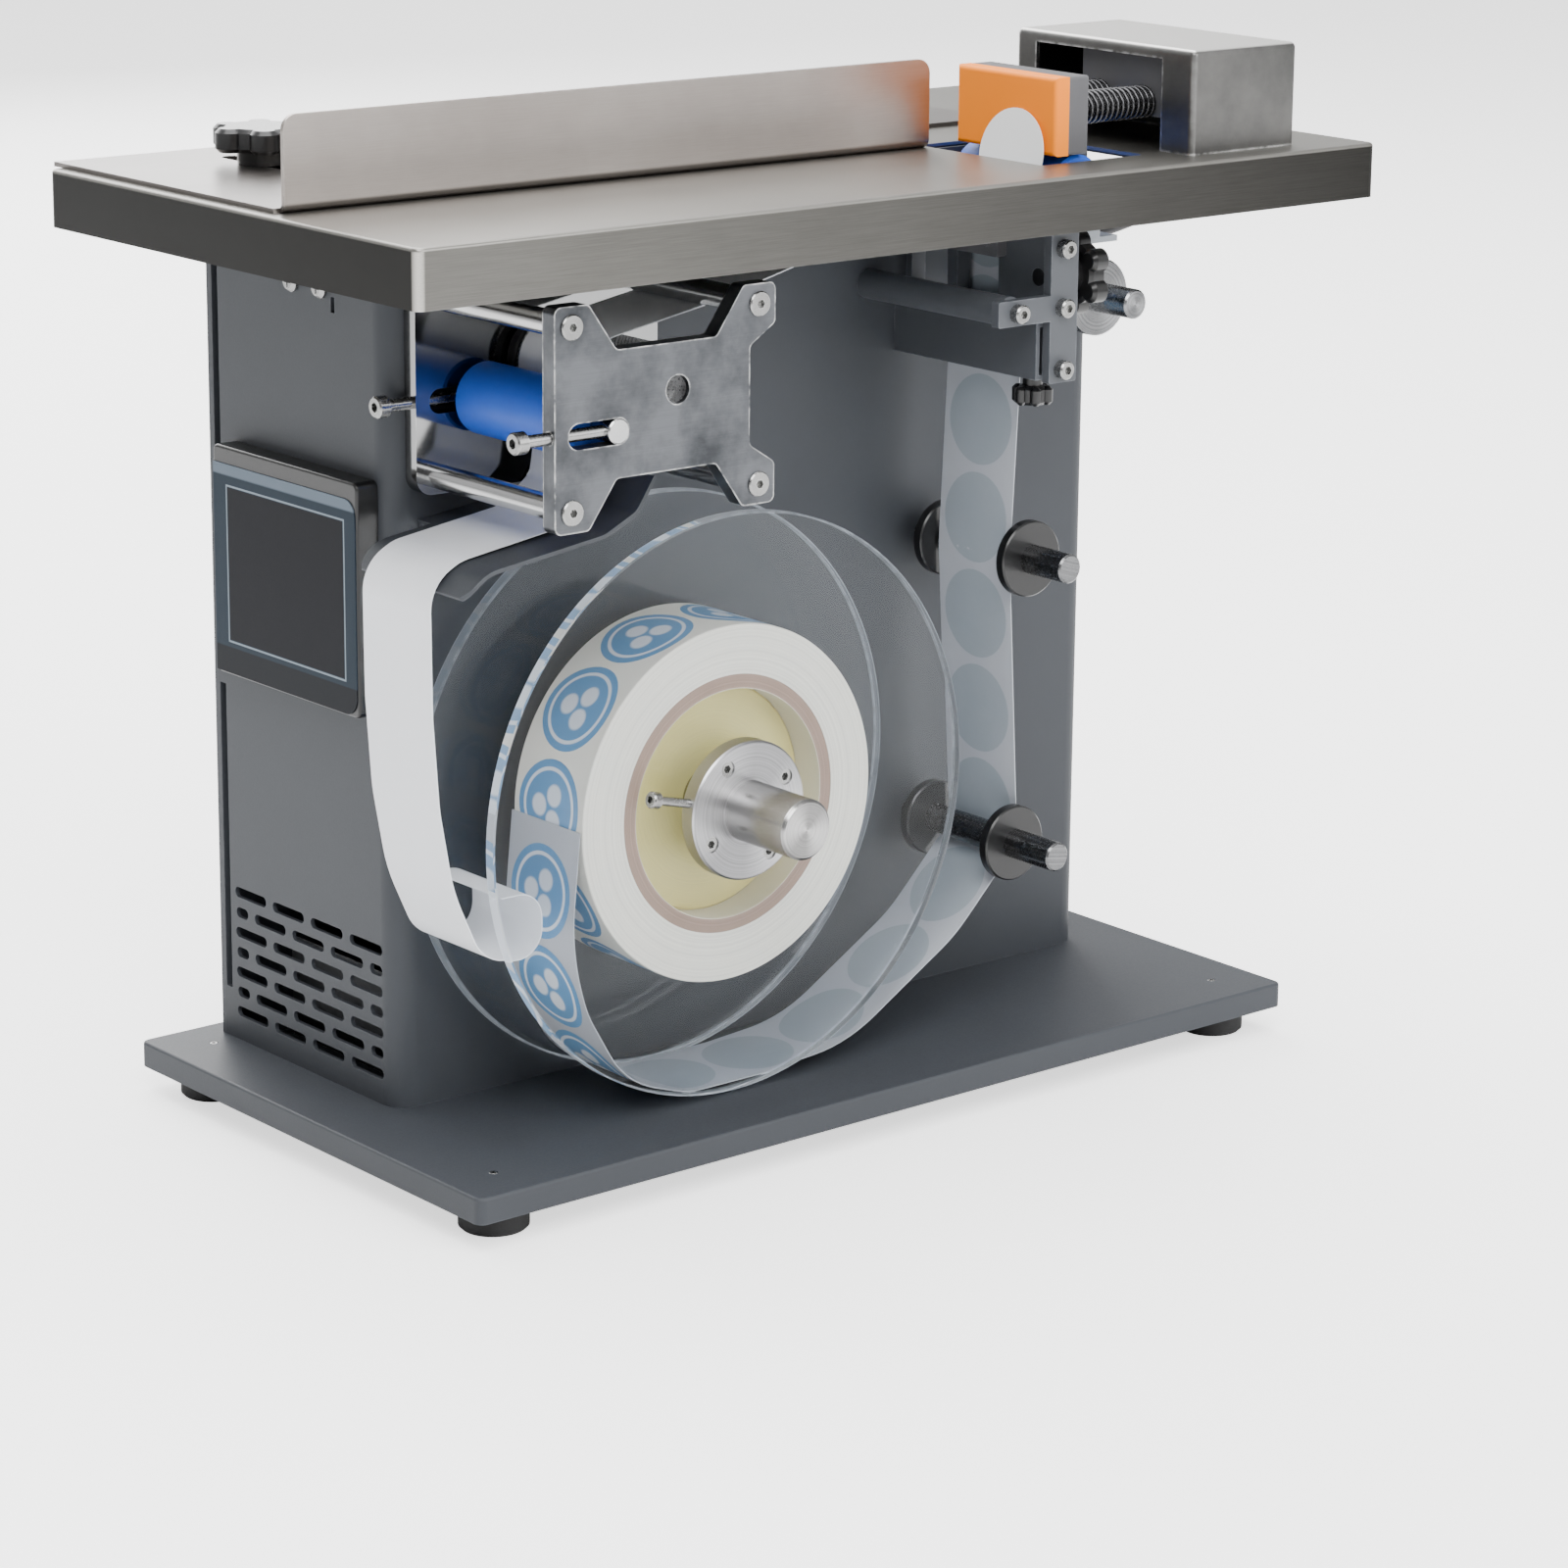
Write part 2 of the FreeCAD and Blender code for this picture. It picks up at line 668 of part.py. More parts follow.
def pan_screw(at, out, length=PAN_L):
    """Cross-recess pan-head screw whose head seats on the face at its place."""
    head = [(0, -length), (PAN_SHANK_R, -length), (PAN_SHANK_R, 0), (PAN_HEAD_R, 0),
            (PAN_HEAD_R, PAN_HEAD_H * 0.5), (PAN_HEAD_R * 0.72, PAN_HEAD_H), (0, PAN_HEAD_H)]
    screw = turned(head, V(0, 0, 0), Z_AXIS)
    arm = PAN_HEAD_R * 0.55
    slot_w = 0.35
    for wide, long in ((slot_w, arm), (arm, slot_w)):
        screw = screw.cut(box((-wide, wide), (-long, long), (PAN_HEAD_H * 0.35, PAN_HEAD_H + 1)))
    return place(screw, at, out)


def socket_screw(at, out, shank_r, head_r, head_h, length):
    """Socket-head screw."""
    head = [(0, -length), (shank_r, -length), (shank_r, 0), (head_r, 0), (head_r, head_h * 0.86),
            (head_r - head_h * 0.14, head_h), (0, head_h)]
    screw = turned(head, V(0, 0, 0), Z_AXIS)
    socket = hexagon(head_r * 0.85, head_h, V(0, 0, head_h * 0.4), Z_AXIS)
    return place(screw.cut(socket), at, out)


def disc_screw(at, out, length):
    """Screw with a thin flat head and a socket."""
    edge = TIE_HEAD_H * 0.4
    head = [(0, -length), (CAP_SHANK_R, -length), (CAP_SHANK_R, 0), (TIE_HEAD_R, 0), (TIE_HEAD_R, TIE_HEAD_H - edge),
            (TIE_HEAD_R - edge, TIE_HEAD_H), (0, TIE_HEAD_H)]
    screw = turned(head, V(0, 0, 0), Z_AXIS)
    return place(screw.cut(hexagon(TIE_SOCKET, TIE_SOCKET_D, V(0, 0, TIE_HEAD_H - TIE_SOCKET_D), Z_AXIS)), at, out)


def star_knob(radius, height, stud_r, stud_l, at, out):
    """Lobed hand knob with a hub towards the work and a stud below it."""
    edge = height * 0.12
    hub_h = height * 0.3
    shape = drum(radius * 0.76, height - hub_h, edge, V(0, 0, hub_h), Z_AXIS)
    for lobe in range(KNOB_LOBES):
        turn = math.radians(360 / KNOB_LOBES * lobe)
        centre = V(radius * 0.72 * math.cos(turn), radius * 0.72 * math.sin(turn), hub_h)
        shape = shape.fuse(drum(radius * 0.28, height - hub_h, edge, centre, Z_AXIS))
    shape = shape.fuse(rod(radius * 0.48, hub_h + edge, V(0, 0, 0), Z_AXIS))
    shape = shape.fuse(rod(stud_r, stud_l, V(0, 0, -stud_l), Z_AXIS))
    return place(shape.removeSplitter(), at, out)


def group(shapes):
    """Several separate solids that share one node."""
    return Part.makeCompound(shapes)


def foot_places():
    """Centres of the four feet in plan."""
    half_x = BASE_X / 2 - FOOT_INSET_X
    half_y = BASE_Y / 2 - FOOT_INSET_Y
    return [(sx * half_x, sy * half_y) for sx in (-1, 1) for sy in (-1, 1)]


def base_plate():
    shape = rounded_box((-BASE_X / 2, BASE_X / 2), (-BASE_Y / 2, BASE_Y / 2), (FOOT_H, BASE_TOP), BASE_CORNER_R)
    top_edges = [e for e in shape.Edges if abs(e.CenterOfMass.z - BASE_TOP) < 1e-6]
    shape = shape.makeFillet(BASE_EDGE_R, top_edges)
    inner_x = BASE_X / 2 - BASE_SHEET
    inner_y = BASE_Y / 2 - BASE_SHEET
    hollow = box((-inner_x, inner_x), (-inner_y, inner_y), (FOOT_H - 1, BASE_TOP - BASE_SHEET))
    holes = [rod(BASE_SCREW_R + SCREW_FIT, BASE_SKIRT, V(px, py, FOOT_H), Z_AXIS) for px, py in foot_places()]
    return shape.cut([hollow] + holes)


def rubber_feet():
    feet = []
    height = FOOT_H + BASE_SKIRT - BASE_SHEET
    for px, py in foot_places():
        foot = drum(FOOT_R, height, 1.0, V(px, py, 0), Z_AXIS)
        hole_z = BASE_TOP - BASE_SCREW_L - 0.5
        feet.append(foot.cut(rod(BASE_SCREW_R + SCREW_FIT, height, V(px, py, hole_z), Z_AXIS)))
    return group(feet)


def end_vent_slots():
    """Rows of slots in the left end, alternately long and starting with a short one."""
    slots = []
    pitch = END_VENT_LONG + END_VENT_GAP
    for row in range(END_VENT_ROWS):
        low = BASE_TOP + END_VENT_FIRST_UP + END_VENT_PITCH * row - END_VENT_H / 2
        if row % 2 == 0:
            spans = [(END_VENT_Y0 + pitch * k, END_VENT_LONG) for k in range(4)]
        else:
            first = END_VENT_Y0 + END_VENT_SHORT + END_VENT_GAP
            spans = [(END_VENT_Y0, END_VENT_SHORT)]
            spans += [(first + pitch * k, END_VENT_LONG) for k in range(3)]
            spans += [(first + pitch * 3, END_VENT_SHORT)]
        for start, length in spans:
            slots.append(rounded_box((CABINET_X0 - 1, CABINET_X0 + CABINET_SHEET + 1), (start, start + length),
                                     (low, low + END_VENT_H), END_VENT_H * 0.49, X_AXIS))
    return slots


def front_wall_holes():
    """Holes in the front wall for the shafts that run into the cabinet."""
    reel = rod(SHAFT_R + WALL_HOLE_SPARE, CABINET_SHEET + 2, V(REEL_X, CABINET_FRONT - 1, REEL_Z), Y_AXIS)
    drive = rod(DRIVE_JOURNAL_R + WALL_HOLE_SPARE, CABINET_SHEET + 2, V(DRIVE_X, CABINET_FRONT - 1, DRIVE_Z), Y_AXIS)
    return [reel, drive]


def panel_body_limits():
    """Limits of the operator panel's rear body in Y and Z."""
    y = (HMI_Y[0] + HMI_BODY_IN, HMI_Y[1] - HMI_BODY_IN)
    z = (BASE_TOP + HMI_UP[0] + HMI_BODY_IN, BASE_TOP + HMI_UP[1] - HMI_BODY_IN)
    return y, z


def inlet_body_limits():
    """Limits of the mains inlet's rear body in Y and Z."""
    z = (BASE_TOP + INLET_UP[0] + INLET_RIM, BASE_TOP + INLET_UP[1] - INLET_RIM)
    return (INLET_Y[0] + INLET_RIM, INLET_Y[1] - INLET_RIM), z


def end_screw_places():
    """Places of the two screws in each cabinet end that hold the table brackets."""
    return [(py, TABLE_UNDER - END_SCREW_DROP) for py in END_SCREW_YS]


def cabinet_shell():
    outer = box((CABINET_X0, CABINET_X1), (CABINET_FRONT, COVER_FACE), (BASE_TOP, TABLE_UNDER))
    front_edges = [e for e in edges_along(outer, Z_AXIS) if e.CenterOfMass.y < CABINET_FRONT + 1]
    outer = outer.makeFillet(CABINET_EDGE_R, front_edges)
    inner_x = (CABINET_X0 + CABINET_SHEET, CABINET_X1 - CABINET_SHEET)
    inner = box(inner_x, (WALL_INSIDE, COVER_FACE - CABINET_SHEET), (BASE_TOP + CABINET_SHEET, TABLE_UNDER + 1))
    front_edges = [e for e in edges_along(inner, Z_AXIS) if e.CenterOfMass.y < WALL_INSIDE + 1]
    inner = inner.makeFillet(CABINET_EDGE_R - CABINET_SHEET, front_edges)
    flange_x = (inner_x[0] + CABINET_FLANGE, inner_x[1] - CABINET_FLANGE)
    back_window = box(flange_x, (CABINET_FRONT + 20, CABINET_BACK),
                      (BASE_TOP + CABINET_FLANGE, TABLE_UNDER - 2.6 * CABINET_FLANGE))
    floor_window = box(flange_x, (WALL_INSIDE + CABINET_FLANGE, COVER_FACE - CABINET_SHEET - CABINET_FLANGE),
                       (BASE_TOP - 1, BASE_TOP + CABINET_SHEET + 1))
    cuts = [inner, back_window, floor_window] + end_vent_slots() + front_wall_holes()
    slit_y = (COVER_FACE - END_SLIT_Y_IN, COVER_FACE - CABINET_SHEET)
    slit_x = (CABINET_X0 - 1, CABINET_X0 + CABINET_SHEET)
    cuts.append(box(slit_x, slit_y, (BASE_TOP + END_SLIT_LOW_UP[0], BASE_TOP + END_SLIT_LOW_UP[1])))
    cuts.append(box(slit_x, slit_y, (TABLE_UNDER - END_SLIT_HIGH_DROP[0], TABLE_UNDER - END_SLIT_HIGH_DROP[1])))
    left_wall = (CABINET_X0 - 1, CABINET_X0 + CABINET_SHEET + 1)
    cuts.append(box(left_wall, END_NOTCH_Y, (TABLE_UNDER - END_NOTCH_DROP[0], TABLE_UNDER - END_NOTCH_DROP[1])))
    body_y, body_z = panel_body_limits()
    cuts.append(box(left_wall, (body_y[0] - CUT_GAP, body_y[1] + CUT_GAP), (body_z[0] - CUT_GAP, body_z[1] + CUT_GAP)))
    inlet_y, inlet_z = inlet_body_limits()
    cuts.append(box((CABINET_X1 - CABINET_SHEET - 1, CABINET_X1 + 1), (inlet_y[0] - INLET_FIT, inlet_y[1] + INLET_FIT),
                    (inlet_z[0] - INLET_FIT, inlet_z[1] + INLET_FIT)))
    for py, pz in end_screw_places():
        for px in (CABINET_X0 - 1, CABINET_X1 - CABINET_SHEET - 1):
            cuts.append(rod(PAN_SHANK_R + SCREW_FIT, CABINET_SHEET + 2, V(px, py, pz), X_AXIS))
    for px, pz in back_screw_places():
        cuts.append(rod(PAN_SHANK_R + SCREW_FIT, 2 * CABINET_SHEET + 2, V(px, COVER_FACE - 2, pz), Y_AXIS))
    end = loom_points()[-1]
    cuts.append(rod(GLAND_R - 1, CABINET_SHEET + 2, V(CABINET_X1 - CABINET_SHEET - 1, end.y, end.z), X_AXIS))
    return outer.cut(cuts)


def back_screw_places():
    """Places of the eleven back cover screws."""
    left = CABINET_X0 + BACK_SCREW_LEFT_IN
    right = CABINET_X1 - BACK_SCREW_RIGHT_IN
    middle = BASE_TOP + BACK_SCREW_MID_SHARE * CABINET_H
    levels = (BASE_TOP + BACK_SCREW_LOW_UP, middle, TABLE_UNDER - BACK_SCREW_HIGH_DROP)
    places = [(px, pz) for px in (left, right) for pz in levels]
    places.append((BACK_SCREW_CENTRE_X, TABLE_UNDER - BACK_SCREW_CENTRE_DROP))
    places += [(px, TABLE_UNDER - BACK_SCREW_TOP_DROP) for px in BACK_SCREW_TOP_XS]
    return places


def back_vent_slots():
    """Upright slots in staggered rows, in two groups."""
    slots = []
    rows = len(BACK_VENT_COUNTS)
    for centre_x, centre_up in BACK_VENT_GROUPS:
        for row, count in enumerate(BACK_VENT_COUNTS):
            mid_z = BASE_TOP + centre_up + (row - (rows - 1) / 2) * BACK_VENT_PITCH_Z
            for k in range(count):
                mid_x = centre_x + (k - (count - 1) / 2) * BACK_VENT_PITCH_X
                slots.append(rounded_box((mid_x - BACK_VENT_W / 2, mid_x + BACK_VENT_W / 2),
                                         (COVER_FACE - 1, CABINET_BACK + 1),
                                         (mid_z - BACK_VENT_H / 2, mid_z + BACK_VENT_H / 2),
                                         BACK_VENT_W * 0.49, Y_AXIS))
    return slots


def back_cover():
    shape = box((CABINET_X0, CABINET_X1), (COVER_FACE, CABINET_BACK), (BASE_TOP, TABLE_UNDER))
    holes = [rod(PAN_SHANK_R + SCREW_FIT, CABINET_SHEET + 2, V(px, COVER_FACE - 1, pz), Y_AXIS)
             for px, pz in back_screw_places()]
    return shape.cut(back_vent_slots() + holes)


def housing_screw_places():
    """Places in plan of the two screws in the pusher housing's foot."""
    mid_x = (HOUSING_X[0] + HOUSING_X[1]) / 2
    py = HOUSING_Y[1] + HOUSING_FOOT_D * HOUSING_SCREW_SHARE
    return [(mid_x + side * HOUSING_SCREW_PITCH / 2, py) for side in (-1, 1)]


def pan_screws():
    screws = [pan_screw(V(px, CABINET_BACK, pz), Y_AXIS) for px, pz in back_screw_places()]
    for py, pz in end_screw_places():
        screws.append(pan_screw(V(CABINET_X0, py, pz), -X_AXIS))
        screws.append(pan_screw(V(CABINET_X1, py, pz), X_AXIS))
    for px, py in housing_screw_places():
        screws.append(pan_screw(V(px, py, TABLE_TOP + HOUSING_FOOT_T), Z_AXIS))
    for px, py in foot_places():
        screw = drum(BASE_SCREW_R, BASE_SCREW_L, BASE_SCREW_R * 0.2, V(px, py, BASE_TOP - BASE_SCREW_L), Z_AXIS)
        screws.append(screw.cut(hexagon(BASE_SOCKET, BASE_SOCKET, V(px, py, BASE_TOP - BASE_SOCKET), Z_AXIS)))
    return group(screws)


def table_brackets():
    """Angles inside the two ends, screwed to the ends and carrying the table."""
    angles = []
    for wall, side in ((CABINET_X0 + CABINET_SHEET, 1), (CABINET_X1 - CABINET_SHEET, -1)):
        upright_x = sorted((wall, wall + side * BRACKET_SHEET))
        shelf_x = sorted((wall, wall + side * BRACKET_LEG))
        upright = box(upright_x, BRACKET_Y, (TABLE_UNDER - BRACKET_H, TABLE_UNDER))
        shelf = box(shelf_x, BRACKET_Y, (TABLE_UNDER - BRACKET_SHEET, TABLE_UNDER))
        holes = [rod(PAN_SHANK_R + SCREW_FIT, BRACKET_LEG, V(upright_x[0] - 1, py, pz), X_AXIS)
                 for py, pz in end_screw_places()]
        angles.append(upright.fuse(shelf).removeSplitter().cut(holes))
    return group(angles)


def table_top():
    x = (TABLE_X0, TABLE_X1)
    y = (TABLE_Y0, TABLE_Y0 + TABLE_Y)
    low = TABLE_TOP - TABLE_LIP
    shape = rounded_box(x, y, (low, TABLE_TOP), TABLE_CORNER_R)
    top_edges = [e for e in shape.Edges if abs(e.CenterOfMass.z - TABLE_TOP) < 1e-6]
    shape = shape.makeFillet(TABLE_SHEET * 0.8, top_edges)
    hollow = rounded_box((x[0] + TABLE_SHEET, x[1] - TABLE_SHEET), (y[0] + TABLE_SHEET, y[1] - TABLE_SHEET),
                         (low - 1, TABLE_UNDER), TABLE_CORNER_R - TABLE_SHEET)
    through = (TABLE_UNDER - 1, TABLE_TOP + 1)
    cuts = [hollow, rounded_box(OPENING_X, OPENING_Y, through, OPENING_CORNER_R)]
    for px in FENCE_SLOTS_X:
        cuts.append(rod(KNOB_STUD_R + RUNNING_FIT, 4, V(px, FENCE_KNOB_Y, TABLE_UNDER - 1), Z_AXIS))
    for px, py in housing_screw_places():
        cuts.append(rod(PAN_SHANK_R + SCREW_FIT, 4, V(px, py, TABLE_UNDER - 1), Z_AXIS))
    cuts.append(rod(TABLE_SCREW_R + SCREW_FIT, 4, V(TABLE_SCREW_X, TABLE_SCREW_Y, TABLE_UNDER - 1), Z_AXIS))
    return shape.cut(cuts)


def tab_screw_place():
    """Place of the screw in the pusher housing's tab."""
    mid_y = (HOUSING_TAB_Y[0] + HOUSING_TAB_Y[1]) / 2
    return V(HOUSING_X[1] + HOUSING_TAB_T, mid_y, HOUSING_TOP - TAB_SCREW_DROP)


def black_screws():
    """Flat-headed screw of the table with its nut, and the screw in the housing's tab."""
    top = TABLE_SCREW_HEAD_H
    profile = [(0, -TABLE_SCREW_L), (TABLE_SCREW_R, -TABLE_SCREW_L), (TABLE_SCREW_R, 0), (TABLE_SCREW_HEAD_R, 0),
               (TABLE_SCREW_HEAD_R - top / 2, top), (0, top)]
    screw = turned(profile, V(0, 0, 0), Z_AXIS).cut(hexagon(TABLE_SOCKET, top, V(0, 0, top * 0.2), Z_AXIS))
    table_screw = place(screw, V(TABLE_SCREW_X, TABLE_SCREW_Y, TABLE_TOP), Z_AXIS)
    nut_seat = V(TABLE_SCREW_X, TABLE_SCREW_Y, TABLE_UNDER - TABLE_NUT_H)
    nut = hexagon(TABLE_NUT, TABLE_NUT_H, nut_seat, Z_AXIS)
    nut = nut.cut(rod(TABLE_SCREW_R + SCREW_FIT, TABLE_NUT_H + 2, nut_seat - Z_AXIS, Z_AXIS))
    tab_screw = pan_screw(tab_screw_place(), X_AXIS, TAB_SCREW_L)
    return group([table_screw, nut, tab_screw])


def fence():
    z = (TABLE_TOP, TABLE_TOP + FENCE_SHEET)
    wall_x = (FENCE_X0 + FENCE_RELIEF, FENCE_WALL_X1)
    flange = box((FENCE_X0, FENCE_FLANGE_X1), (FENCE_FRONT, FENCE_BACK), z)
    through = (z[0] - 1, z[1] + 1)
    relief = box((FENCE_X0 - 1, wall_x[0]), (FENCE_FRONT - 1, FENCE_FRONT + FENCE_BEND_R), through)
    notch = box((FENCE_WALL_X1, FENCE_FLANGE_X1 + 1), (FENCE_FRONT - 1, FENCE_NOTCH_Y), through)
    wall = box(wall_x, (FENCE_FRONT, FENCE_FRONT + FENCE_SHEET), (z[0], z[0] + FENCE_H))
    wall_top = [e for e in edges_along(wall, Y_AXIS) if e.CenterOfMass.z > z[0] + FENCE_H / 2]
    wall = wall.makeFillet(FENCE_CORNER_R, wall_top)
    shape = flange.cut([relief, notch]).fuse(wall).removeSplitter()
    inner_y = FENCE_FRONT + FENCE_SHEET
    inner = [e for e in edges_along(shape, X_AXIS)
             if abs(e.CenterOfMass.z - z[1]) < 1e-6 and abs(e.CenterOfMass.y - inner_y) < 1e-6]
    shape = shape.makeFillet(FENCE_BEND_R - FENCE_SHEET, inner)
    bend = [e for e in edges_along(shape, X_AXIS)
            if abs(e.CenterOfMass.z - z[0]) < 1e-6 and abs(e.CenterOfMass.y - FENCE_FRONT) < 1e-6]
    shape = shape.makeFillet(FENCE_BEND_R, bend)
    half_w = KNOB_STUD_R + FENCE_SLOT_FIT
    for px in FENCE_SLOTS_X:
        slot = rounded_box((px - half_w, px + half_w), (FENCE_SLOT_Y[0] - half_w, FENCE_SLOT_Y[1] + half_w),
                           through, half_w * 0.98)
        shape = shape.cut(slot)
    return shape


def fence_knob(px):
    washer_z = KNOB_STUD_TOP
    knob = star_knob(KNOB_R, KNOB_H, KNOB_STUD_R, FENCE_SHEET + TABLE_SHEET + KNOB_WASHER_T + KNOB_TAIL,
                     V(px, FENCE_KNOB_Y, washer_z + KNOB_WASHER_T), Z_AXIS)
    washer = rod(KNOB_WASHER_R, KNOB_WASHER_T, V(px, FENCE_KNOB_Y, washer_z), Z_AXIS)
    return knob.fuse(washer).removeSplitter()


def pusher_housing():
    x, y = HOUSING_X, HOUSING_Y
    outer = box(x, y, (TABLE_TOP, HOUSING_TOP))
    upper = [e for e in outer.Edges if e.CenterOfMass.z > TABLE_TOP + 1]
    outer = outer.makeFillet(HOUSING_EDGE_R, upper)
    t = HOUSING_SHEET
    cuts = [box((x[0] + t, x[1] - t), (y[0] + t, y[1] - t), (TABLE_TOP - 1, HOUSING_ROOF))]
    cuts.append(box((x[0] - 1, x[0] + t + 1), HOUSING_OPENING_Y, (TABLE_TOP - 1, TABLE_TOP + HOUSING_OPENING_H)))
    mid_x = (x[0] + x[1]) / 2
    foot = rounded_box((mid_x - HOUSING_FOOT_HALF, mid_x + HOUSING_FOOT_HALF), (y[1] - t, y[1] + HOUSING_FOOT_D),
                       (TABLE_TOP, TABLE_TOP + HOUSING_FOOT_T), HOUSING_FOOT_T / 2)
    tab_top = HOUSING_TOP - HOUSING_TAB_DROP
    tab = rounded_box((x[1] - t, x[1] + HOUSING_TAB_T), HOUSING_TAB_Y, (tab_top - HOUSING_TAB_H, tab_top),
                      HOUSING_TAB_R, X_AXIS)
    shape = outer.cut(cuts).fuse([foot, tab]).removeSplitter()
    holes = [rod(PAN_SHANK_R + SCREW_FIT, 6, V(px, py, TABLE_TOP - 1), Z_AXIS) for px, py in housing_screw_places()]
    place_of_screw = tab_screw_place()
    holes.append(rod(PAN_SHANK_R + SCREW_FIT, 6, place_of_screw - X_AXIS * 5, X_AXIS))
    return shape.cut(holes)


def guide_block():
    x = (GUIDE_X0, GUIDE_X0 + GUIDE_L)
    block = rounded_box(x, GUIDE_Y, (ROD_Z - GUIDE_BELOW_ROD, HOUSING_ROOF), BLOCK_EDGE_R)
    holes = [rod(ROD_R + RUNNING_FIT, GUIDE_L + 2, V(x[0] - 1, py, ROD_Z), X_AXIS) for py in ROD_YS]
    return block.cut(holes)


def pusher_pad():
    pad = box(PAD_X, PAD_Y, PAD_Z)
    front = [e for e in pad.Edges if abs(e.CenterOfMass.x - PAD_X[0]) < 1e-6]
    return pad.makeFillet(PAD_EDGE_R, front)


def pusher_block():
    block = rounded_box(BLOCK_X, PAD_Y, PAD_Z, BLOCK_EDGE_R, X_AXIS)
    holes = [rod(ROD_R, BLOCK_T, V(BLOCK_X[0] + ROD_SET_IN, py, ROD_Z), X_AXIS) for py in ROD_YS]
    return block.cut(holes)


def rod_tail_x():
    """Where the guide rods end behind the guide block."""
    return GUIDE_X0 + GUIDE_L + SCREW_FIT + CLIP_T + ROD_TAIL


def pusher_rods():
    rods = []
    start = BLOCK_X[0] + ROD_SET_IN
    clip_x = GUIDE_X0 + GUIDE_L + SCREW_FIT
    for py in ROD_YS:
        bar = rod(ROD_R, rod_tail_x() - start, V(start, py, ROD_Z), X_AXIS)
        clip = rod(CLIP_R, CLIP_T, V(clip_x, py, ROD_Z), X_AXIS)
        rods.append(bar.fuse(clip).removeSplitter())
    return group(rods)


def pusher_springs():
    springs = []
    length = GUIDE_X0 - BLOCK_X[1] - 2 * SPRING_WIRE_R - 2 * SCREW_FIT
    coil_r = SPRING_R - SPRING_WIRE_R
    helix = Part.makeHelix(length / SPRING_TURNS, length, coil_r)
    profile = Part.Wire(Part.makeCircle(SPRING_WIRE_R, V(coil_r, 0, 0), Y_AXIS))
    coil = Part.Wire(helix).makePipeShell([profile], True, True)
    for py in ROD_YS:
        springs.append(place(coil, V(BLOCK_X[1] + SPRING_WIRE_R + SCREW_FIT, py, ROD_Z), X_AXIS))
    return group(springs)


def microswitch():
    length, width, height = SWITCH_SIZE
    x0 = GUIDE_X0 + GUIDE_L
    y = (ROD_MID_Y - width / 2, ROD_MID_Y + width / 2)
    low = HOUSING_ROOF - height
    body = box((x0, x0 + length), y, (low, HOUSING_ROOF))
    button_x = (x0 + SWITCH_BUTTON_X[0], x0 + SWITCH_BUTTON_X[1])
    button_y = (ROD_MID_Y - SWITCH_BUTTON_W / 2, ROD_MID_Y + SWITCH_BUTTON_W / 2)
    button = box(button_x, button_y, (low - SWITCH_BUTTON_H, low))
    leg_y = (ROD_MID_Y - SWITCH_LEG_W / 2, ROD_MID_Y + SWITCH_LEG_W / 2)
    legs = [box((x0 + px, x0 + px + SWITCH_LEG_T), leg_y, (low - SWITCH_LEG_H, low)) for px in SWITCH_LEGS_X]
    return body.fuse([button] + legs).removeSplitter()


def loom_points():
    """Route of the loom from the pusher housing over the table's right edge to the gland."""
    points = [V(HOUSING_X[1] + dx, py, TABLE_TOP + up) for dx, py, up in LOOM_START]
    points += [V(TABLE_X1 + dx, py, TABLE_TOP + up) for dx, py, up in LOOM_BEND]
    last_x = points[-1].x
    way = CABINET_X1 + GLAND_OUT - last_x
    return points + [V(last_x + way * share, py, TABLE_TOP + up) for share, py, up in LOOM_RETURN]


def sensor_loom():
    points = loom_points()
    path, radii = cord_path(points)
    profile = Part.Wire(Part.makeCircle(LOOM_R, points[0], X_AXIS))
    tube = path.makePipeShell([profile], True, False)
    print("loom arc radii", " ".join("%.1f" % r for r in radii))
    print("loom volume %.1f, section x length %.1f" % (tube.Volume, math.pi * LOOM_R ** 2 * path.Length))
    return tube


def loom_gland():
    end = loom_points()[-1]
    centre = V(CABINET_X1, end.y, end.z)
    body = drum(GLAND_R, GLAND_OUT, 1.0, centre, X_AXIS)
    collar = hexagon(GLAND_HEX, GLAND_OUT * GLAND_HEX_SHARE, centre, X_AXIS)
    neck_l = CABINET_SHEET + GLAND_NECK_L
    neck = rod(GLAND_R - 1 - SCREW_FIT, neck_l, centre - X_AXIS * neck_l, X_AXIS)
    nut = hexagon(GLAND_HEX, GLAND_NUT_T, centre - X_AXIS * (CABINET_SHEET + GLAND_NUT_T), X_AXIS)
    return body.fuse([collar, neck, nut]).removeSplitter()


def press_roller():
    length = PRESS_Y[1] - PRESS_Y[0]
    return ring(PRESS_R, PRESS_AXLE_R + RUNNING_FIT, length, 1.0, V(PRESS_X, PRESS_Y[0], PRESS_Z), Y_AXIS)


def bracket_ear_y():
    """Limits in Y of the front ear of the press roller's bracket."""
    return (PRESS_Y[0] - PRESS_EAR_GAP - PRESS_SHEET, PRESS_Y[0] - PRESS_EAR_GAP)


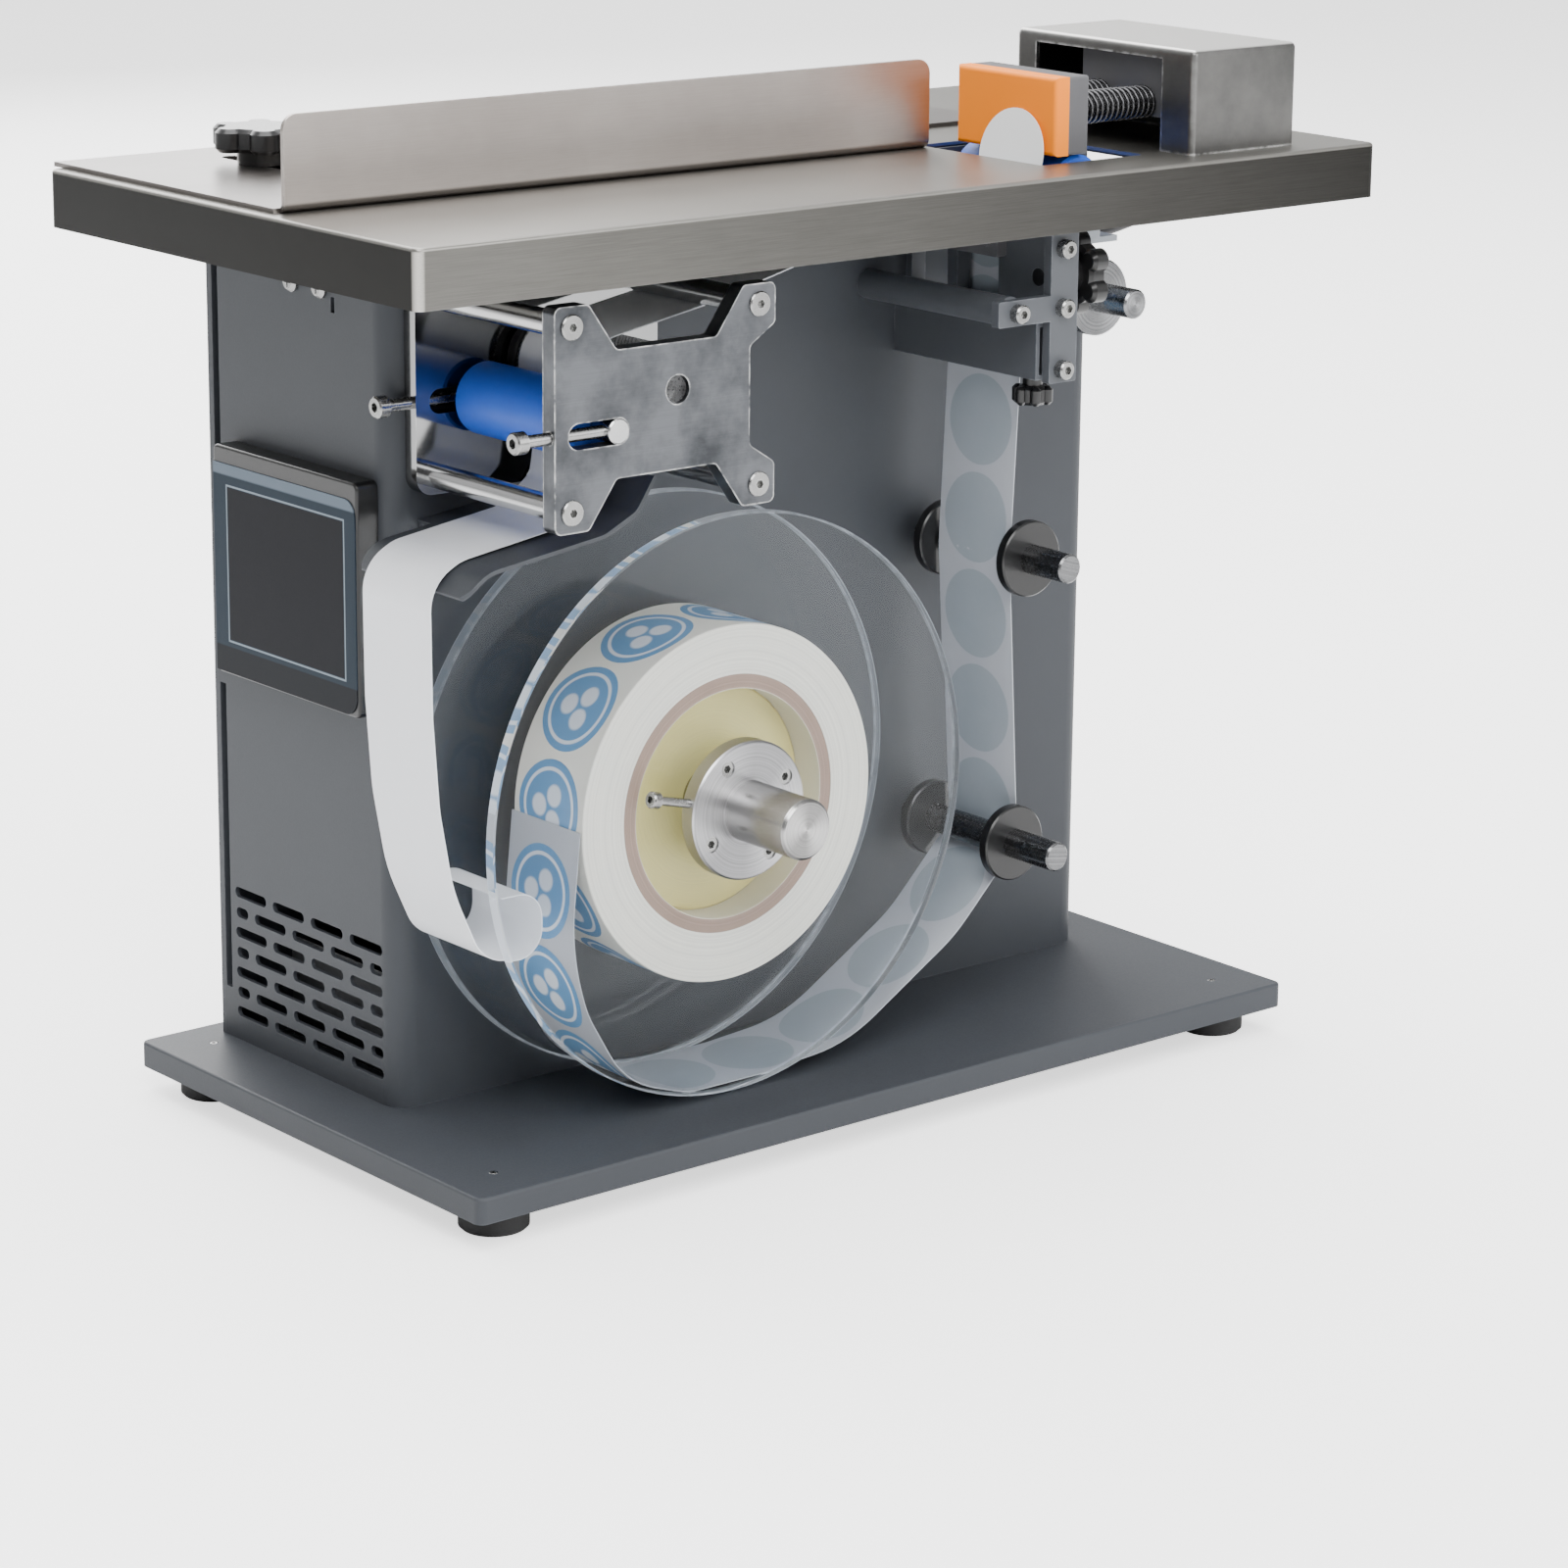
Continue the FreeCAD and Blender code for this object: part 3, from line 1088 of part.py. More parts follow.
def press_roller_axle():
    ear_y = bracket_ear_y()
    front = ear_y[0] - PRESS_AXLE_OVER
    length = CABINET_FRONT - PRESS_AXLE_GAP - front
    axle = drum(PRESS_AXLE_R, length, PRESS_AXLE_R / 6, V(PRESS_X, front, PRESS_Z), Y_AXIS)
    spacer_r = PRESS_AXLE_R + PRESS_SPACER_WALL
    runs = ((ear_y[1], PRESS_Y[0] - SOFT_GAP), (PRESS_Y[1] + SOFT_GAP, CABINET_FRONT - PRESS_SHEET))
    spacers = [ring(spacer_r, PRESS_AXLE_R, run[1] - run[0], 0.3, V(PRESS_X, run[0], PRESS_Z), Y_AXIS) for run in runs]
    return axle.fuse(spacers).removeSplitter()


def press_roller_bracket():
    shelf_z = TABLE_UNDER - PRESS_SHELF_DROP
    ear_y = bracket_ear_y()
    shelf = box(PRESS_BRACKET_X, (ear_y[0], CABINET_FRONT), (shelf_z - PRESS_SHEET, shelf_z))
    rear_y = (CABINET_FRONT - PRESS_SHEET, CABINET_FRONT)
    top = TABLE_UNDER - PRESS_EAR_DROP
    ear_x = (PRESS_BRACKET_X[0], PRESS_X + PRESS_X - PRESS_BRACKET_X[0])
    ears = [box(ear_x, ear_y, (shelf_z - PRESS_SHEET, top)), box(PRESS_BRACKET_X, rear_y, (shelf_z - PRESS_SHEET, top))]
    shape = shelf.fuse(ears).removeSplitter()
    return shape.cut([rod(PRESS_AXLE_R, CABINET_FRONT - ear_y[0] + 2, V(PRESS_X, ear_y[0] - 1, PRESS_Z), Y_AXIS)])


def tie_rod_places():
    return [(px, pz) for px in (ROD_LEFT_X, ROD_RIGHT_X) for pz in (ROD_TOP_Z, ROD_LOW_Z)]


def pinch_slot(y):
    """Slot tool that lets the pinch shaft move away from the drive roller."""
    r = PINCH_SHAFT_R + RUNNING_FIT
    left_x = PINCH_X - PINCH_TRAVEL - PINCH_SLOT_SPARE
    length = y[1] - y[0]
    ends = [rod(r, length, V(px, y[0], PINCH_Z), Y_AXIS) for px in (left_x, PINCH_X)]
    return ends + [box((left_x, PINCH_X), y, (PINCH_Z - r, PINCH_Z + r))]


def adjust_hole(left_x, mid_y):
    """Hole for an adjusting bolt from a plate's left edge to the slot."""
    return rod(ADJUST_R + SCREW_FIT, PINCH_X - left_x + 2, V(left_x - 1, mid_y, PINCH_Z), X_AXIS)


def traction_back_plate():
    left = ROD_LEFT_X - EAR
    right = ROD_RIGHT_X + EAR + BACK_PLATE_OVER
    y = (UNIT_REAR, UNIT_REAR + PLATE_T)
    shape = box((left, right), y, (ROD_LOW_Z - EAR, ROD_TOP_Z + EAR + BACK_PLATE_RISE))
    lower = [e for e in edges_along(shape, Y_AXIS) if e.CenterOfMass.z < DRIVE_Z]
    shape = shape.makeFillet(BACK_PLATE_R, lower)
    cuts = [rod(DRIVE_JOURNAL_R + WALL_HOLE_SPARE, PLATE_T + 2, V(DRIVE_X, y[0] - 1, DRIVE_Z), Y_AXIS)]
    cuts += pinch_slot((y[0] - 1, y[1] + 1))
    cuts.append(adjust_hole(left, (y[0] + y[1]) / 2))
    return shape.cut(cuts)


def traction_front_plate():
    left = ROD_LEFT_X - EAR
    right = ROD_RIGHT_X + EAR
    top = ROD_TOP_Z + EAR
    low = ROD_LOW_Z - EAR
    waist_top = DRIVE_Z + TOP_WAIST_UP
    waist_low = DRIVE_Z - LOW_WAIST_DOWN
    waist_right = DRIVE_X + RIGHT_WAIST_OUT
    outline = [(left, low), (left, top), (ROD_LEFT_X + EAR, top), (ROD_LEFT_X + WAIST_IN, waist_top),
               (ROD_RIGHT_X - WAIST_IN, waist_top), (ROD_RIGHT_X - EAR, top), (right, top),
               (right, ROD_TOP_Z - EAR), (waist_right, ROD_TOP_Z - 2 * EAR), (waist_right, ROD_LOW_Z + 2 * EAR),
               (right, ROD_LOW_Z + EAR), (right, low), (ROD_RIGHT_X - EAR, low),
               (ROD_RIGHT_X - WAIST_IN, waist_low), (ROD_LEFT_X + WAIST_IN, waist_low), (ROD_LEFT_X + EAR, low)]
    y = (PLATE_FRONT, UNIT_FRONT)
    shape = panel(outline, y)
    shape = shape.makeFillet(FRONT_PLATE_R, edges_along(shape, Y_AXIS))
    cuts = [rod(DRIVE_JOURNAL_R + CUT_GAP, PLATE_T + 2, V(DRIVE_X, y[0] - 1, DRIVE_Z), Y_AXIS)]
    cuts.append(rod(BEARING_R, BEARING_T, V(DRIVE_X, y[1] - BEARING_T, DRIVE_Z), Y_AXIS))
    cuts += pinch_slot((y[0] - 1, y[1] + 1))
    cuts.append(adjust_hole(left, (y[0] + y[1]) / 2))
    cuts += [rod(CAP_SHANK_R + SCREW_FIT, PLATE_T + 2, V(px, y[0] - 1, pz), Y_AXIS) for px, pz in tie_rod_places()]
    return shape.cut(cuts)


def tie_rods():
    rods = []
    length = UNIT_REAR - UNIT_FRONT
    for px, pz in tie_rod_places():
        bar = rod(TIE_ROD_R, length, V(px, UNIT_FRONT, pz), Y_AXIS)
        rods.append(bar.cut(rod(CAP_SHANK_R + SCREW_FIT, TIE_SCREW_L, V(px, UNIT_FRONT - 1, pz), Y_AXIS)))
    return group(rods)


def end_screw_xz():
    """Places in XZ of the four screws in the peel unit's end plate."""
    mid_x = (PEEL_PLATE_X[0] + PEEL_PLATE_X[1]) / 2
    bar_x, bar_drop = TIE_BAR
    drops = (END_SCREW_DROPS[0], bar_drop, END_SCREW_DROPS[1])
    return [(mid_x, TABLE_UNDER - drop) for drop in drops] + [(bar_x, TABLE_UNDER - bar_drop)]


def socket_screws():
    screws = [disc_screw(V(px, PLATE_FRONT, pz), -Y_AXIS, TIE_SCREW_L) for px, pz in tie_rod_places()]
    face = END_PLATE_Y - END_PLATE_T
    for px, pz in end_screw_xz():
        screws.append(socket_screw(V(px, face, pz), -Y_AXIS, CAP_SHANK_R, END_HEAD_R, END_HEAD_H, END_SCREW_L))
    return group(screws)


def drive_roller():
    """Knurled roller with a front journal and a clamped rear hub."""
    length = DRIVE_Y[1] - DRIVE_Y[0]
    centre = V(DRIVE_X, DRIVE_Y[0], DRIVE_Z)
    body = drum(DRIVE_R, length, 0.8, centre, Y_AXIS)
    journal = rod(DRIVE_JOURNAL_R, DRIVE_JOURNAL_L, V(DRIVE_X, DRIVE_Y[0] - DRIVE_JOURNAL_L, DRIVE_Z), Y_AXIS)
    hub = rod(DRIVE_HUB_R, DRIVE_COLLAR_T, V(DRIVE_X, DRIVE_Y[1], DRIVE_Z), Y_AXIS)
    shape = body.fuse([journal, hub]).removeSplitter()
    bore_y = WALL_INSIDE - MOTOR_SHAFT_OUT
    return shape.cut(rod(DRIVE_JOURNAL_R, MOTOR_SHAFT_OUT + 1, V(DRIVE_X, bore_y, DRIVE_Z), Y_AXIS))


def drive_collar():
    start = V(DRIVE_X, DRIVE_Y[1], DRIVE_Z)
    collar = ring(DRIVE_COLLAR_R, DRIVE_HUB_R, DRIVE_COLLAR_T, 0.6, start, Y_AXIS)
    slit = box((DRIVE_X - DRIVE_SLIT / 2, DRIVE_X + DRIVE_SLIT / 2), (DRIVE_Y[1] - 1, DRIVE_Y[1] + DRIVE_COLLAR_T + 1),
               (DRIVE_Z, DRIVE_Z + DRIVE_COLLAR_R + 1))
    return collar.cut(slit)


def bearings():
    """Bush of the drive journal in the front plate, and the reel shaft's two bearings."""
    bush = ring(BEARING_R, DRIVE_JOURNAL_R + RUNNING_FIT, BEARING_T, 0.2,
                V(DRIVE_X, UNIT_FRONT - BEARING_T, DRIVE_Z), Y_AXIS)
    rings = [bush]
    for start in reel_bearing_starts():
        rings.append(ring(REEL_BEARING_R, SHAFT_R + RUNNING_FIT, REEL_BEARING_T, 0.4, V(REEL_X, start, REEL_Z), Y_AXIS))
    return group(rings)


def pinch_roller():
    return ring(PINCH_R, PINCH_SHAFT_R + RUNNING_FIT, PINCH_Y[1] - PINCH_Y[0], 0.8,
                V(PINCH_X, PINCH_Y[0], PINCH_Z), Y_AXIS)


def pinch_shaft():
    front = PLATE_FRONT - 0.5
    return drum(PINCH_SHAFT_R, CABINET_FRONT - 0.3 - front, 0.4, V(PINCH_X, front, PINCH_Z), Y_AXIS)


def adjusting_bolts():
    bolts = []
    tip = PINCH_X - PINCH_SHAFT_R
    seat = ROD_LEFT_X - EAR - ADJUST_OUT
    for mid_y in (UNIT_FRONT - PLATE_T / 2, UNIT_REAR + PLATE_T / 2):
        bolts.append(socket_screw(V(seat, mid_y, PINCH_Z), -X_AXIS, ADJUST_R, ADJUST_HEAD_R, ADJUST_HEAD_H, tip - seat))
    return group(bolts)


def motor_shaft():
    front = WALL_INSIDE - MOTOR_SHAFT_OUT
    return rod(DRIVE_JOURNAL_R, MOTOR_SHAFT_OUT + MOTOR_SHAFT_IN, V(DRIVE_X, front, DRIVE_Z), Y_AXIS)


def stepper_motor():
    half = MOTOR_SIDE / 2
    x = (DRIVE_X - half, DRIVE_X + half)
    z = (DRIVE_Z - half, DRIVE_Z + half)
    rear = WALL_INSIDE + MOTOR_L - MOTOR_END_T
    inset = MOTOR_STACK_IN
    stack = rounded_box((x[0] + inset, x[1] - inset), (WALL_INSIDE + MOTOR_END_T, rear), (z[0] + inset, z[1] - inset),
                        MOTOR_STACK_R, Y_AXIS)
    ends = [rounded_box(x, (start, start + MOTOR_END_T), z, MOTOR_END_R, Y_AXIS) for start in (WALL_INSIDE, rear)]
    shape = stack.fuse(ends).removeSplitter()
    bore_r = DRIVE_JOURNAL_R + RUNNING_FIT
    return shape.cut(rod(bore_r, MOTOR_SHAFT_IN + 2, V(DRIVE_X, WALL_INSIDE - 1, DRIVE_Z), Y_AXIS))


def deflector_points():
    """Section of the chute from below the nip to its tip outside the left end."""
    run_z = ROD_LOW_Z - TIE_ROD_R - DEFLECTOR_ROD_GAP
    tip_x = CABINET_X0 - DEFLECTOR_TIP_OUT
    (bend_dx, bend_drop), (_, tip_drop) = DEFLECTOR_RUN
    return [(DRIVE_X + DEFLECTOR_TOP[0], DRIVE_Z - DEFLECTOR_TOP[1]),
            (DRIVE_X + DEFLECTOR_KNEE[0], DRIVE_Z - DEFLECTOR_KNEE[1]),
            (DRIVE_X + DEFLECTOR_FOOT_X, run_z), (CABINET_X0 + bend_dx, run_z - bend_drop), (tip_x, run_z - tip_drop)]


def waste_deflector():
    points = deflector_points()
    sheet = band(points, DEFLECTOR_RADII, DEFLECTOR_T, DEFLECTOR_Y)
    tip = points[-1]
    round_z = (tip[1] - 2 * DEFLECTOR_TIP_R, tip[1] + 3 * DEFLECTOR_TIP_R)
    round_x = (tip[0] - DEFLECTOR_TIP_R, tip[0] + 2 * DEFLECTOR_TIP_R)
    keep = box(round_x, (DEFLECTOR_Y[0] - 1, DEFLECTOR_Y[1] + 1), round_z)
    rounded = rounded_box((tip[0] - 1, tip[0] + 6 * DEFLECTOR_TIP_R), DEFLECTOR_Y, round_z, DEFLECTOR_TIP_R)
    sheet = sheet.cut(keep.cut(rounded))
    arm_x = (ROD_LEFT_X - DEFLECTOR_ARM[0], ROD_LEFT_X + DEFLECTOR_ARM[1])
    step = (points[2][1] - points[3][1]) / (points[2][0] - points[3][0])
    arm_points = [(px, points[2][1] + (px - points[2][0]) * step) for px in arm_x]
    arm = band(arm_points, (), DEFLECTOR_T, (DEFLECTOR_Y[1] - 1, CABINET_FRONT))
    low = min(z for _, z in arm_points)
    flange_z = (low - DEFLECTOR_FLANGE_H, low + DEFLECTOR_T / 2)
    flange = box(arm_x, (CABINET_FRONT - DEFLECTOR_T, CABINET_FRONT), flange_z)
    return sheet.fuse([arm, flange]).removeSplitter()


def tangent(start, finish, reach):
    """Direction of a line from start that passes finish at a distance, on its left where reach is positive."""
    run = finish - start
    turn = math.atan2(run.z, run.x) - math.asin(reach / run.Length)
    return V(math.cos(turn), 0, math.sin(turn))


def waste_liner():
    """Spent liner from the peel edge under the tie rod, through the nip and down the chute."""
    lift = PAPER_T / 2 + SOFT_GAP
    wrap_r = DRIVE_R + lift
    rod_wrap_r = TIE_ROD_R + lift
    lean = math.atan2(PINCH_DROP, DRIVE_X - PINCH_X)
    down = V(math.sin(lean), 0, -math.cos(lean))
    nip = V(DRIVE_X - wrap_r * math.cos(lean), 0, DRIVE_Z - wrap_r * math.sin(lean))
    after_nip = nip + down * LINER_NIP_RUN
    chute = [(px, pz + DEFLECTOR_T / 2 + lift) for px, pz in deflector_points()]
    tip = chute[-1]
    tip_back, tip_rise = LINER_TURN
    turned = V(web_x() - tip_back, 0, peel_tip_z() + tip_rise)
    drive = V(DRIVE_X, 0, DRIVE_Z)
    tie_rod = V(ROD_RIGHT_X, 0, ROD_TOP_Z)
    to_rod = tangent(turned, tie_rod, -rod_wrap_r)
    to_drive = tangent(tie_rod, drive, wrap_r + rod_wrap_r)
    dip = post_corner(tie_rod, rod_wrap_r, to_rod, to_drive)
    over = post_corner(drive, wrap_r, to_drive, down)
    points = [(web_x(), peel_tip_z() - WEB_TIP_DROP), (web_x(), turned.z), (turned.x, turned.z), (dip.x, dip.z),
              (over.x, over.z), (after_nip.x, after_nip.z)]
    points += [(chute[k + 1][0] + dx, chute[k + 1][1] + dz) for k, (dx, dz) in enumerate(LINER_CHUTE)]
    points.append((tip[0] + LINER_TIP[0], tip[1] + LINER_TIP[1]))
    span = REEL_X - ROLL_R - tip[0]
    points += [(tip[0] + share * span, tip[1] - drop) for share, drop in LINER_HANG]
    radii = (LINER_TURN_R, LINER_TURN_R, rod_wrap_r, wrap_r) + LINER_CHUTE_R + LINER_HANG_R
    return band(points, radii, PAPER_T, PAPER_Y)


def web_x():
    """Where the label web climbs beside the peel plate."""
    return PEEL_PLATE_X[1] + WEB_GAP


def peel_tip_z():
    return TABLE_UNDER - PEEL_TIP_DROP


def post_corner(centre, radius, before, after):
    """Corner of a path that turns round a post at a radius."""
    before.normalize()
    after.normalize()
    outward = before - after
    outward.normalize()
    return centre + outward * (radius / math.cos(before.getAngle(after) / 2))


def label_web():
    """Label web from the roll round the posts to the peel edge, and the label leaving it."""
    lift = PAPER_T / 2 + SOFT_GAP
    left = REEL_X - ROLL_R - lift
    floor = BASE_TOP + WEB_FLOOR_GAP
    hang = REEL_Z - floor
    lower = V(LOWER_POST_X, 0, LOWER_POST_Z)
    upper = V(UPPER_POST_X, 0, UPPER_POST_Z)
    wrap_r = POST_R + lift
    climb = V(upper.x - lower.x - 2 * wrap_r, 0, upper.z - lower.z)
    rise = V(1, 0, 1)
    approach_z = peel_tip_z() - WEB_APPROACH
    to_peel = V(web_x() - upper.x + wrap_r, 0, approach_z - upper.z)
    low_turn = post_corner(lower, wrap_r, rise, climb)
    high_turn = post_corner(upper, wrap_r, climb, to_peel)
    points = [(left + dx * hang, REEL_Z - drop * hang) for dx, drop in WEB_SAG]
    points += [(REEL_X + dx, floor + up) for dx, up in WEB_FLAT]
    points += [(low_turn.x - WEB_RISE, low_turn.z - WEB_RISE), (low_turn.x, low_turn.z), (high_turn.x, high_turn.z),
               (web_x(), approach_z), (web_x(), peel_tip_z() - WEB_TIP_DROP)]
    radii = [share * hang for share in WEB_SAG_RADII] + [WEB_FLAT_R] * 3 + [wrap_r, wrap_r, WEB_APPROACH_R]
    web = band(points, radii, PAPER_T, PAPER_Y)
    label = rod(LABEL_R, PAPER_T, V(0, 0, 0), X_AXIS)
    pad_side = PAD_X[0] - SOFT_GAP - PAPER_T
    lean = math.degrees(math.asin((pad_side - web_x() - lift) / (2 * LABEL_R)))
    label.rotate(V(0, 0, 0), Y_AXIS, lean)
    label.translate(V((web_x() + lift + pad_side) / 2, ROD_MID_Y - LABEL_FRONT, TABLE_TOP + LABEL_RISE))
    return group([web, label])


def reel_discs():
    discs = []
    for y in (DISC_REAR_Y, DISC_FRONT_Y):
        discs.append(ring(DISC_R, SHAFT_R, DISC_T, 0.4, V(REEL_X, y[0], REEL_Z), Y_AXIS))
    return group(discs)


def label_roll():
    return ring(ROLL_R, HUB_R + CORE_T, ROLL_W, 0.3, V(REEL_X, ROLL_Y[0], REEL_Z), Y_AXIS)


def roll_core():
    return ring(HUB_R + CORE_T, HUB_R, ROLL_W, 0.2, V(REEL_X, ROLL_Y[0], REEL_Z), Y_AXIS)


def reel_hub():
    start = V(REEL_X, DISC_REAR_Y[0] - HUB_W, REEL_Z)
    return ring(HUB_R, SHAFT_R, HUB_W, 0.8, start, Y_AXIS)


def set_screw_places():
    """Centres in XZ of the set screws in the hub collar."""
    return [(REEL_X + SET_SCREW_RING_R * math.cos(math.radians(a)), REEL_Z + SET_SCREW_RING_R * math.sin(math.radians(a)))
            for a in (30, 120, 210, 300)]


def clamp_bolt_line():
    """Seat and direction of the bolt that stands out of the hub collar's rim."""
    turn = math.radians(CLAMP_BOLT_DEG)
    out = V(math.cos(turn), 0, math.sin(turn))
    centre = V(REEL_X, DISC_FRONT_Y[0] - HUB_COLLAR_T / 2, REEL_Z)
    return centre, out


def hub_collar():
    front = DISC_FRONT_Y[0] - HUB_COLLAR_T
    collar = ring(HUB_COLLAR_R, SHAFT_R, HUB_COLLAR_T, 0.6, V(REEL_X, front, REEL_Z), Y_AXIS)
    holes = [rod(SET_SCREW_R + SCREW_FIT, HUB_COLLAR_T - SET_SCREW_FLOOR, V(px, front - 1, pz), Y_AXIS)
             for px, pz in set_screw_places()]
    centre, out = clamp_bolt_line()
    holes.append(rod(CLAMP_BOLT_R + SCREW_FIT, HUB_COLLAR_R - SHAFT_R - 3, centre + out * (SHAFT_R + 4), out))
    return collar.cut(holes)


def hub_screws():
    front = DISC_FRONT_Y[0] - HUB_COLLAR_T
    depth = HUB_COLLAR_T - SET_SCREW_SUNK - 2 * SET_SCREW_FLOOR
    screws = []
    for px, pz in set_screw_places():
        seat = V(px, front + SET_SCREW_SUNK, pz)
        screws.append(rod(SET_SCREW_R, depth, seat, Y_AXIS).cut(hexagon(SET_SOCKET, depth / 2, seat, Y_AXIS)))
    centre, out = clamp_bolt_line()
    seat = centre + out * (HUB_COLLAR_R + CLAMP_BOLT_OUT)
    bolt_l = HUB_COLLAR_R + CLAMP_BOLT_OUT - SHAFT_R - CLAMP_BOLT_IN
    screws.append(socket_screw(seat, out, CLAMP_BOLT_R, CLAMP_BOLT_HEAD_R, CLAMP_BOLT_HEAD_H, bolt_l))
    return group(screws)


def reel_shaft():
    return drum(SHAFT_R, SHAFT_REAR - SHAFT_FRONT, 1.0, V(REEL_X, SHAFT_FRONT, REEL_Z), Y_AXIS)


def reel_bearing_starts():
    rear = SHAFT_REAR - REEL_BEARING_T - SHAFT_OVERHANG
    return (WALL_INSIDE + REEL_BEARING_INSET, rear)


def reel_bearing_housing():
    start = V(REEL_X, WALL_INSIDE, REEL_Z)
    length = SHAFT_REAR - SHAFT_OVERHANG - WALL_INSIDE
    tube = rod(REEL_BEARING_R + BEARING_HOUSING_WALL, length, start, Y_AXIS)
    flange = rod(BEARING_FLANGE_R, BEARING_FLANGE_T, start, Y_AXIS)
    shape = tube.fuse(flange).removeSplitter()
    cuts = [rod(SHAFT_R + WALL_HOLE_SPARE, length + 2, V(REEL_X, WALL_INSIDE - 1, REEL_Z), Y_AXIS)]
    for y in reel_bearing_starts():
        cuts.append(rod(REEL_BEARING_R, REEL_BEARING_T, V(REEL_X, y, REEL_Z), Y_AXIS))
    return shape.cut(cuts)


def guide_posts():
    posts = [drum(POST_R, LOWER_POST_L, 0.6, V(LOWER_POST_X, CABINET_FRONT, LOWER_POST_Z), -Y_AXIS),
             drum(POST_R, UPPER_POST_L, 0.6, V(UPPER_POST_X, CABINET_FRONT, UPPER_POST_Z), -Y_AXIS)]
    shoulder = SIDE_DISC_FRONT - POST_COLLAR_T
    profile = [(0, 0), (POST_R, 0), (POST_R, shoulder), (POST_COLLAR_R - 0.5, shoulder), (POST_COLLAR_R, shoulder + 0.5),
               (POST_COLLAR_R, SIDE_DISC_FRONT - 0.5), (POST_COLLAR_R - 0.5, SIDE_DISC_FRONT), (POST_R, SIDE_DISC_FRONT),
               (POST_R, SIDE_POST_L - 0.6), (POST_R - 0.6, SIDE_POST_L), (0, SIDE_POST_L)]
    posts.append(turned(profile, V(SIDE_POST_X, CABINET_FRONT, SIDE_POST_Z), -Y_AXIS))
    return group(posts)


def guide_collars():
    collars = []
    for px, pz in ((LOWER_POST_X, LOWER_POST_Z), (UPPER_POST_X, UPPER_POST_Z)):
        for front in (PAPER_Y[0] - POST_COLLAR_GAP - POST_COLLAR_T, PAPER_Y[1] + POST_COLLAR_GAP):
            collars.append(ring(POST_COLLAR_R, POST_R, POST_COLLAR_T, 0.5, V(px, front, pz), Y_AXIS))
    return group(collars)


def peel_plate():
    """Upright plate with windows, whose bevelled top is the peel edge."""
    x0, x1 = PEEL_PLATE_X
    tip_z = peel_tip_z()
    bevel_z = TABLE_UNDER - PEEL_BEVEL_DROP
    low = TABLE_UNDER - PEEL_PLATE_DROP
    tip_x = (x1 + PEEL_TIP_X[0], x1 + PEEL_TIP_X[1])
    outline = [(x0, low), (x1, low), (x1, bevel_z), (tip_x[1], tip_z), (tip_x[0], tip_z), (x0, bevel_z)]
    shape = panel(outline, (END_PLATE_Y, CABINET_FRONT))
    top, bottom = PEEL_WINDOW_DROP
    cuts = [box((x0 - 1, x1 + 1), y, (TABLE_UNDER - bottom, TABLE_UNDER - top)) for y in PEEL_WINDOWS_Y]
    cuts += [rod(CAP_SHANK_R + SCREW_FIT, END_SCREW_L, V(px, END_PLATE_Y - 1, pz), Y_AXIS)
             for px, pz in end_screw_xz()[:3]]
    knob_y, knob_drop = SIDE_KNOB_AT
    cuts.append(rod(KNOB_STUD_R + RUNNING_FIT, x1 - x0 + 2, V(x0 - 1, knob_y, TABLE_UNDER - knob_drop), X_AXIS))
    cuts.append(rod(LOWER_STUD_R + RUNNING_FIT, LOWER_STUD_L + 1, V((x0 + x1) / 2, LOWER_KNOB_Y, low - 1), Z_AXIS))
    return shape.cut(cuts)


def peel_cover():
    """Channel that closes the lower part of the peel unit against the peel plate."""
    x = (PEEL_COVER_X0, PEEL_PLATE_X[0])
    z0 = TABLE_UNDER - PEEL_PLATE_DROP
    y = (END_PLATE_Y, CABINET_FRONT)
    outer = box(x, y, (z0, z0 + PEEL_COVER_H))
    inner = box((x[0] + PEEL_SHEET, x[1] + 1), (y[0] - 1, y[1] + 1), (z0 + PEEL_SHEET, z0 + PEEL_COVER_H - PEEL_SHEET))
    return outer.cut(inner)


def peel_end_plate():
    """Cross-shaped end plate of the peel unit, with the bar that guides the spent liner."""
    top, bottom = END_BAR_DROP
    y = (END_PLATE_Y - END_PLATE_T, END_PLATE_Y)
    bar = box(END_BAR_X, y, (TABLE_UNDER - bottom, TABLE_UNDER - top))
    bar_x, bar_drop = TIE_BAR
    arm_mid = TABLE_UNDER - bar_drop
    arm = box((END_ARM_X0, END_BAR_X[0] + 1), y, (arm_mid - END_ARM_H / 2, arm_mid + END_ARM_H / 2))
    shape = bar.fuse(arm).removeSplitter()
    outer = [e for e in edges_along(shape, Y_AXIS)
             if abs(e.CenterOfMass.x - END_BAR_X[0]) > 1 or abs(e.CenterOfMass.z - arm_mid) > END_ARM_H]
    shape = shape.makeFillet(END_PLATE_R, outer)
    shape = shape.cut([rod(CAP_SHANK_R + SCREW_FIT, END_PLATE_T + 2, V(px, y[0] - 1, pz), Y_AXIS)
                       for px, pz in end_screw_xz()])
    round_bar = rod(POST_R, CABINET_FRONT - END_PLATE_Y, V(bar_x, END_PLATE_Y, arm_mid), Y_AXIS)
    round_bar = round_bar.cut(rod(CAP_SHANK_R + SCREW_FIT, END_SCREW_L, V(bar_x, END_PLATE_Y - 1, arm_mid), Y_AXIS))
    return group([shape, round_bar])


def peel_knob_side():
    knob_y, knob_drop = SIDE_KNOB_AT
    seat = END_BAR_X[1] + PEEL_KNOB_GAP
    stud = seat - PEEL_PLATE_X[0]
    return star_knob(SIDE_KNOB_R, SIDE_KNOB_H, KNOB_STUD_R, stud, V(seat, knob_y, TABLE_UNDER - knob_drop), X_AXIS)


